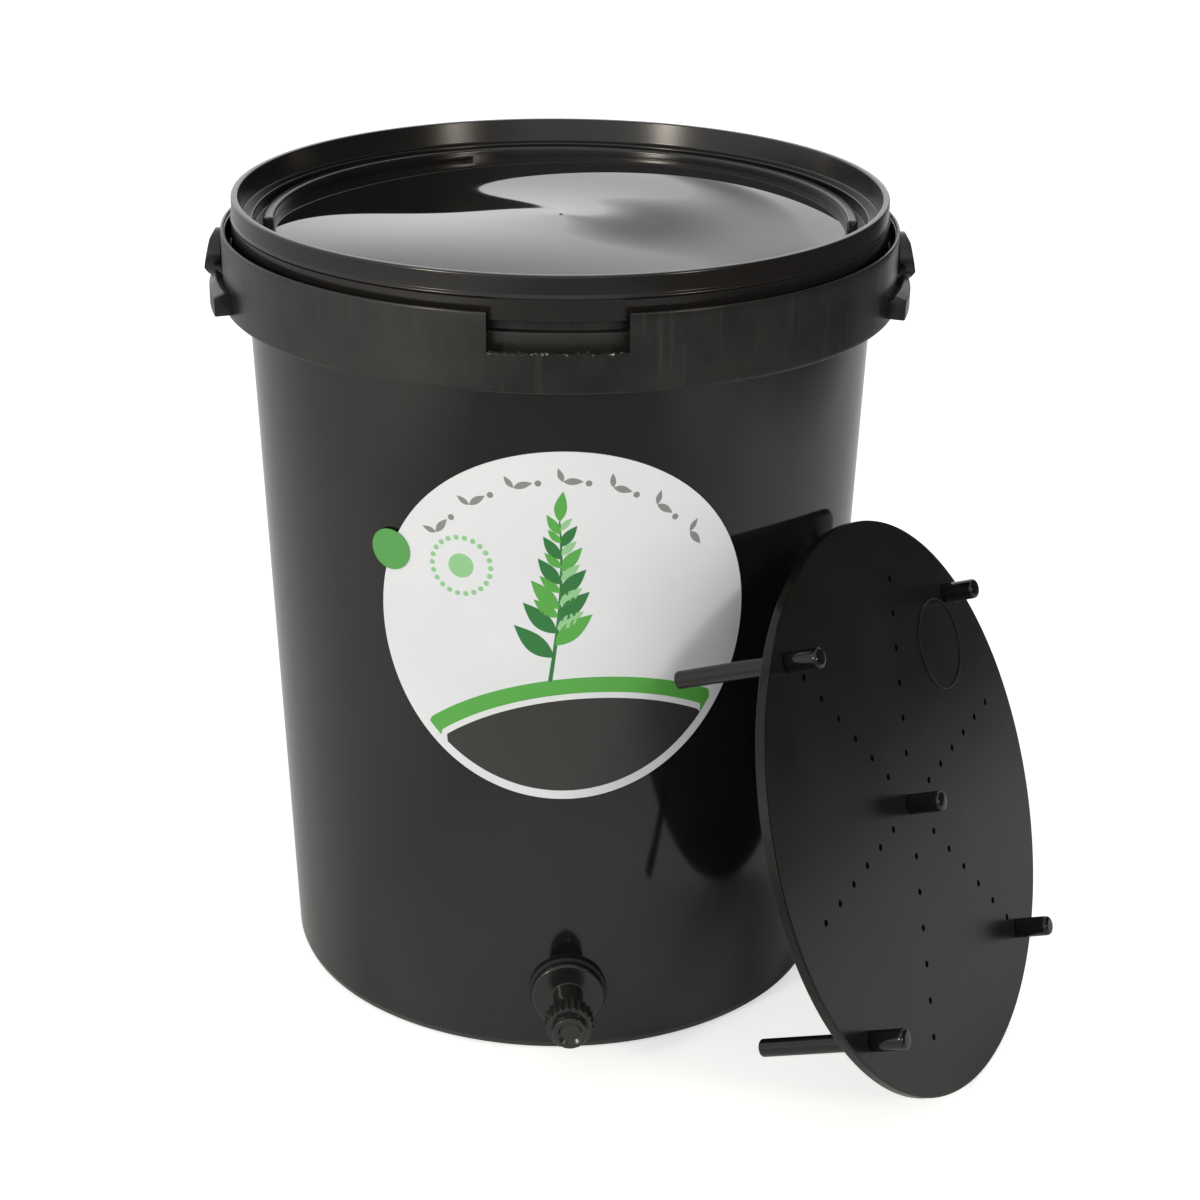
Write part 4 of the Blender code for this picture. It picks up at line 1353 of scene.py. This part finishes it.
def wrap(piece, low, high, strip=3 * mm):
    """Give a flat piece its thickness, from low to high off the wall, and lay it on the wall."""
    edit(piece)
    left, right = span(piece, 0)
    cut_at = math.ceil(left / strip) * strip
    while cut_at < right:
        pick_all()
        bpy.ops.mesh.bisect(plane_co=(cut_at, 0, 0), plane_no=(1, 0, 0))
        cut_at += strip
    pick_all()
    bpy.ops.transform.translate(value=(0, -low, 0))
    bpy.ops.mesh.extrude_region_move(TRANSFORM_OT_translate={"value": (0, low - high, 0)})
    face_outwards()
    left, right = span(piece, 0)
    deform(piece, "BEND", "angle", (right - left) / wrap_radius)
    edit(piece)
    pick_all()
    bpy.ops.transform.translate(value=(0, -wrap_radius, 0))
    leave_edit()
    bottom, top = span(piece, 2)
    deform(piece, "TAPER", "factor", wall_slope * (top - bottom) / wrap_radius)
    piece.location.z = label_height
    piece.rotation_euler.z = label_bearing
    settle(piece)


def on_circle(radius, angle, x=0.0, z=0.0):
    return x + radius * math.cos(angle), z + radius * math.sin(angle)


def circle_points(radius, x=0.0, z=0.0, count=96):
    return [on_circle(radius, full_turn * k / count, x, z) for k in range(count)]


# %% The film and the small sticker
film_radius = label_radius / mm
film = flat_outline("label_film", circle_points(film_radius, count=192))
wrap(film, 0.3 * mm, 0.8 * mm)
sticker_radius = 10
sticker_place = on_circle(film_radius, math.radians(158.5))
sticker = flat_outline("sticker", circle_points(sticker_radius, *sticker_place))
wrap(sticker, 1.1 * mm, 1.6 * mm)
print("film and sticker:", triangles(film), triangles(sticker), "triangles")

# %% Finishes of the film, the inks and the sticker
def printed(name, colour, roughness=0.35):
    """A flat ink or film: an even colour with faint cloudiness and a slight orange peel."""
    material, tree, shader, place = new_material(name)
    grain = place_group(tree, grain_group, place["Object"], Fineness=350.0).outputs
    darker = tuple(0.93 * value for value in colour)
    shade = mix_colour(tree, grain["Mottle"], darker, colour)
    gloss = ramp(tree, grain["Mottle"], 0.0, 1.0, roughness * 0.9, roughness * 1.1)
    tree.links.new(shade, shader.inputs["Base Color"])
    tree.links.new(gloss, shader.inputs["Roughness"])
    add_bump(tree, shader, grain["Height"], 0.008 * mm)
    return material


film_white = printed("white film", (0.78, 0.82, 0.86))
soil_ink = printed("soil ink", (0.035, 0.034, 0.033))
grass_ink = printed("grass ink", (0.1, 0.42, 0.07))
leaf_ink = printed("leaf ink", (0.03, 0.2, 0.05))
pale_ink = printed("pale green ink", (0.3, 0.62, 0.3))
grey_ink = printed("grey ink", (0.25, 0.26, 0.26))
sticker_green = printed("sticker green", (0.09, 0.36, 0.08))
finish_piece(film, film_white, "pail", "label_white", "front_label")
finish_piece(sticker, sticker_green, "pail", "sticker_green", "label_sticker")

# %% [markdown]
# The print is made of flat shapes, each a hundredth of a millimetre above the one that it covers.
# The soil is a low hill, cut off by the label's white margin, with a band of grass over it. One
# leaf is drawn, and every other leaf is a copy that was turned and scaled.

# %% Shapes of the print
margin_radius = film_radius - 4.5


def hill_points(radius, x, z, count=120, arc_steps=60):
    """The part of the label inside its margin that lies below a large circle's top."""
    margin = circle_points(margin_radius, count=count)
    outline = [(px, pz) for px, pz in margin if math.hypot(px - x, pz - z) <= radius]
    (start_x, start_z), (end_x, end_z) = outline[0], outline[-1]
    a = math.atan2(end_z - z, end_x - x)
    b = math.atan2(start_z - z, start_x - x)
    for k in range(1, arc_steps):
        outline.append(on_circle(radius, a + (b - a) * k / arc_steps, x, z))
    return outline


hill_place = (14, -152)
grass = flat_outline("grass", hill_points(128, *hill_place), -0.01 * mm)
white_line = flat_outline("white_line", hill_points(120, *hill_place), -0.02 * mm)
soil = flat_outline("soil", hill_points(117, *hill_place), -0.03 * mm)


def leaf_points(length, width, count=14):
    """A leaf along +X from the origin, pointed at both ends."""
    upper = []
    for k in range(count + 1):
        t = k / count
        upper.append((length * t, 0.5 * width * math.sin(math.pi * t**0.85)))
    lower = [(px, -0.8 * pz) for px, pz in reversed(upper[1:-1])]
    return upper + lower


def stem_points(bends, thickness):
    """A thin stem along a list of points, thinner towards its tip."""
    left = []
    right = []
    for k, (px, pz) in enumerate(bends):
        half = 0.5 * thickness * (1 - 0.6 * k / (len(bends) - 1))
        left.append((px - half, pz))
        right.append((px + half, pz))
    return right + left[::-1]


base_leaf = flat_outline("leaf", leaf_points(1, 0.42))
bends = [(-6 + 5 * math.sin(k / 6), -26 + 6.2 * k) for k in range(14)]
stem = flat_outline("stem", stem_points(bends, 2), -0.04 * mm)
print("the stem has", len(bends), "places for leaves")


def place_leaf(x, z, length, degrees, material, level=5):
    matrix = Matrix.Translation((x * mm, -0.01 * level * mm, z * mm))
    matrix = matrix @ Matrix.Rotation(-math.radians(degrees), 4, "Y") @ Matrix.Scale(length, 4)
    piece = copy_of(base_leaf, "leaf", matrix)
    piece.data.materials.append(material)
    return piece


# %% Grow the sprig
leaves = []
for k in range(2, 13):
    x, z = bends[k]
    length = 27 - 1.3 * k
    side = 1 if k % 2 else -1
    tilt = 90 - side * (52 - 1.6 * k)
    leaves.append(place_leaf(x, z, length, tilt, leaf_ink if k % 3 else grass_ink))
    if k > 3:
        tilt = 90 + side * (60 - 1.6 * k)
        leaves.append(place_leaf(x, z + 2, 0.7 * length, tilt, grass_ink if k % 2 else pale_ink))
x, z = bends[13]
leaves.append(place_leaf(x, z, 15, 84, grass_ink))
print("leaves on the sprig:", len(leaves))

# %% Seeds, a dotted ring and a garland of small leaves
sun = (-47, 30)
sun_dots = 22
lift = -0.01 * mm
dots = []
for x, z in circle_points(14, *sun, sun_dots):
    dots.append(flat_outline("dot", circle_points(1.3, x, z, 16), lift))
dots.append(flat_outline("dot", circle_points(6, *sun, 40), lift))
garland_radius = 74
seeds = []
for k in range(13):
    angle = math.radians(38 + 8.7 * k)
    x, z = on_circle(garland_radius, angle)
    if k % 2:
        seeds.append(flat_outline("seed", circle_points(1.5, x, z, 16), lift))
    else:
        seeds.append(place_leaf(x, z, 9, math.degrees(angle) - 90, grey_ink, 1))
        seeds.append(place_leaf(x, z, 7, math.degrees(angle) + 20, grey_ink, 1))
print("dots and seeds:", len(dots), len(seeds))
discard(base_leaf)

# %% Wrap the print
inks = [(grass, grass_ink), (white_line, film_white), (soil, soil_ink), (stem, leaf_ink)]
inks += [(dot, pale_ink) for dot in dots]
inks += [(seed, grey_ink) for seed in seeds if not seed.data.materials]
for piece, ink in inks:
    piece.data.materials.append(ink)
print_piece = join([grass, white_line, soil, stem, *leaves, *dots, *seeds], "label_print")
wrap(print_piece, 0.79 * mm, 0.82 * mm)
finish_piece(print_piece, None, "pail", "label_white")

# %% [markdown]
# ## Light and stage
# The bin was photographed on a white sheet in front of a bright wall. Black glossy plastic shows
# its room more than its own colour, so the room is built for mirror rays: the wall is brightest
# behind, with a soft darker place where something stands in front of it, and weaker to the right.
# Rays that only light things meet an even, weaker white, and the camera sees plain white.

# %% World
world = bpy.data.worlds.new("studio")
bpy.context.scene.world = world
world.use_nodes = True
tree = world.node_tree
background = tree.nodes["Background"]
background.inputs["Color"].default_value = (1, 1, 1, 1)
path = tree.nodes.new("ShaderNodeLightPath").outputs
axes = axes_of(tree, tree.nodes.new("ShaderNodeTexCoord").outputs["Generated"])
wall_glow = ramp(tree, axes["Y"], 0.5, 0.95, 1.0, 1.45)
to_right = ramp(tree, axes["X"], 0.2, 0.6, 1.0, 0.05)
upwards = ramp(tree, axes["Z"], 0.2, 0.38, 1.0, 0.85)
print("world ready:", world.name)

# %% [markdown]
# The dark place is an oval that slants. A direction's distance from its middle is measured along
# both of its axes, in shares of its size, and the light falls off towards the middle.

# %% The dark place in the wall's light
dark_x = 0.058
dark_z = 0.243
dark_length = 0.07
dark_width = 0.021
dark_slant = math.radians(56.5)
from_x = math_node(tree, "SUBTRACT", axes["X"], dark_x)
from_z = math_node(tree, "SUBTRACT", axes["Z"], dark_z)


def share_along(cosine, sine, reach):
    """How far a direction lies from the dark place along one of its axes, squared."""
    first = product(tree, from_x, cosine / reach)
    second = product(tree, from_z, sine / reach)
    return math_node(tree, "POWER", math_node(tree, "ADD", first, second), 2.0)


def choose(tree, factor, first, second):
    """The first value where the factor is 0, and the second where it is 1."""
    node = tree.nodes.new("ShaderNodeMix")
    for name, value in (("Factor", factor), ("A", first), ("B", second)):
        feed(tree, value, node.inputs[name])
    return node.outputs["Result"]


lengthwise = share_along(math.cos(dark_slant), math.sin(dark_slant), dark_length)
sideways = share_along(math.sin(dark_slant), -math.cos(dark_slant), dark_width)
darkest = 0.38
shadow = ramp(tree, math_node(tree, "ADD", lengthwise, sideways), 0.1, 1.6, darkest, 1.0)
mirrored = product(tree, wall_glow, to_right, upwards, shadow)
diffuse_light = 0.62
plain = ramp(tree, path["Is Camera Ray"], 0.0, 1.0, diffuse_light, 1.0)
plain = math_node(tree, "MAXIMUM", plain, path["Is Transmission Ray"])
strength = choose(tree, path["Is Glossy Ray"], plain, mirrored)
tree.links.new(strength, background.inputs["Strength"])
print("darkest part of the wall:", darkest, "of its light")

# %% [markdown]
# For mirror rays the white sheet is painted darker: a painted falloff of its light in front, and a
# painted dark about a metre to the right, which is what the plate's face and the collar's right
# side mirror. The camera sees white everywhere and keeps the soft shadow under the bin.

# %% Floor
deselect()
bpy.ops.mesh.primitive_plane_add(size=24, location=(0, 0, 0))
floor = name_piece("studio_floor")
floor_white, tree, shader, place = new_material("studio white")
shader.inputs["Roughness"].default_value = 0.9
shader.inputs["Specular IOR Level"].default_value = 0.0
path = tree.nodes.new("ShaderNodeLightPath").outputs
axes = axes_of(tree, place["Object"])
sheet_white = (0.88, 0.88, 0.88)
# Painted shade, seen only by mirror rays: darker in front and beyond a metre to the right.
painted_front_falloff = ramp(tree, axes["Y"], -0.7, -0.25, 0.45, 1.0)
left_part = ramp(tree, axes["X"], -0.8, -0.15, 1.0, 0.0)
right_part = ramp(tree, axes["X"], 0.2, 0.7, 0.0, 0.75)
painted_dark_right = ramp(tree, axes["X"], 0.85, 1.15, 1.0, 0.08)
painted_sheet_light = math_node(tree, "MAXIMUM", painted_front_falloff, left_part)
painted_sheet_light = product(tree, math_node(tree, "MAXIMUM", painted_sheet_light, right_part), painted_dark_right)
painted_mirror_shade = choose(tree, path["Is Glossy Ray"], 1.0, painted_sheet_light)
shade = mix_colour(tree, painted_mirror_shade, (0.0, 0.0, 0.0), sheet_white)
tree.links.new(shade, shader.inputs["Base Color"])
print("sheet ready:", floor_white.name)

# %% [markdown]
# A little light comes from the sheet itself. What the camera sees of it keeps the paper white, and
# mirror rays find a small bright place just in front of the foot, as in the photograph.

# %% The sheet's own light
shader.inputs["Emission Color"].default_value = (1, 1, 1, 1)
camera_glow = product(tree, path["Is Camera Ray"], 0.6)
aside = math_node(tree, "ABSOLUTE", axes["X"])
# Painted light: the sheet glows for mirror rays just in front of the foot, which brightens the
# reflection in the pail's foot.
painted_foot_glow = product(
    tree,
    ramp(tree, axes["Y"], -0.5, -0.15, 0.0, 0.26),
    ramp(tree, aside, 0.08, 0.22, 1.0, 0.0),
    ramp(tree, axes["Y"], -0.13, -0.1, 1.0, 0.0),
    path["Is Glossy Ray"],
)
glow = math_node(tree, "ADD", camera_glow, painted_foot_glow)
tree.links.new(glow, shader.inputs["Emission Strength"])
floor.data.materials.append(floor_white)
print("floor staged:", floor.name)


# %% Lamps
def softbox(name, place, aim, width, height, power, colour):
    data = bpy.data.lights.new(name, "AREA")
    data.shape = "RECTANGLE"
    data.size = width
    data.size_y = height
    data.energy = power
    data.color = colour
    lamp = add_object(name, data)
    lamp.location = place
    lamp.rotation_euler = (Vector(aim) - Vector(place)).to_track_quat("-Z", "Y").to_euler()


warm_white = (1, 0.91, 0.78)
lamp_distance = 1.8
lamp_bearing = math.radians(42)
lamp_x = lamp_distance * math.sin(lamp_bearing)
lamp_y = -lamp_distance * math.cos(lamp_bearing)
lamp_z = 0.82
lamp_aim = (0, 0, 0.25)
left_power, right_power = 11, 6
softbox("left softbox", (-lamp_x, lamp_y, lamp_z), lamp_aim, 0.24, 0.3, left_power, warm_white)
softbox("right softbox", (lamp_x, lamp_y, lamp_z), lamp_aim, 0.24, 0.3, right_power, warm_white)

# %% Colour management
bpy.context.scene.view_settings.view_transform = "Standard"
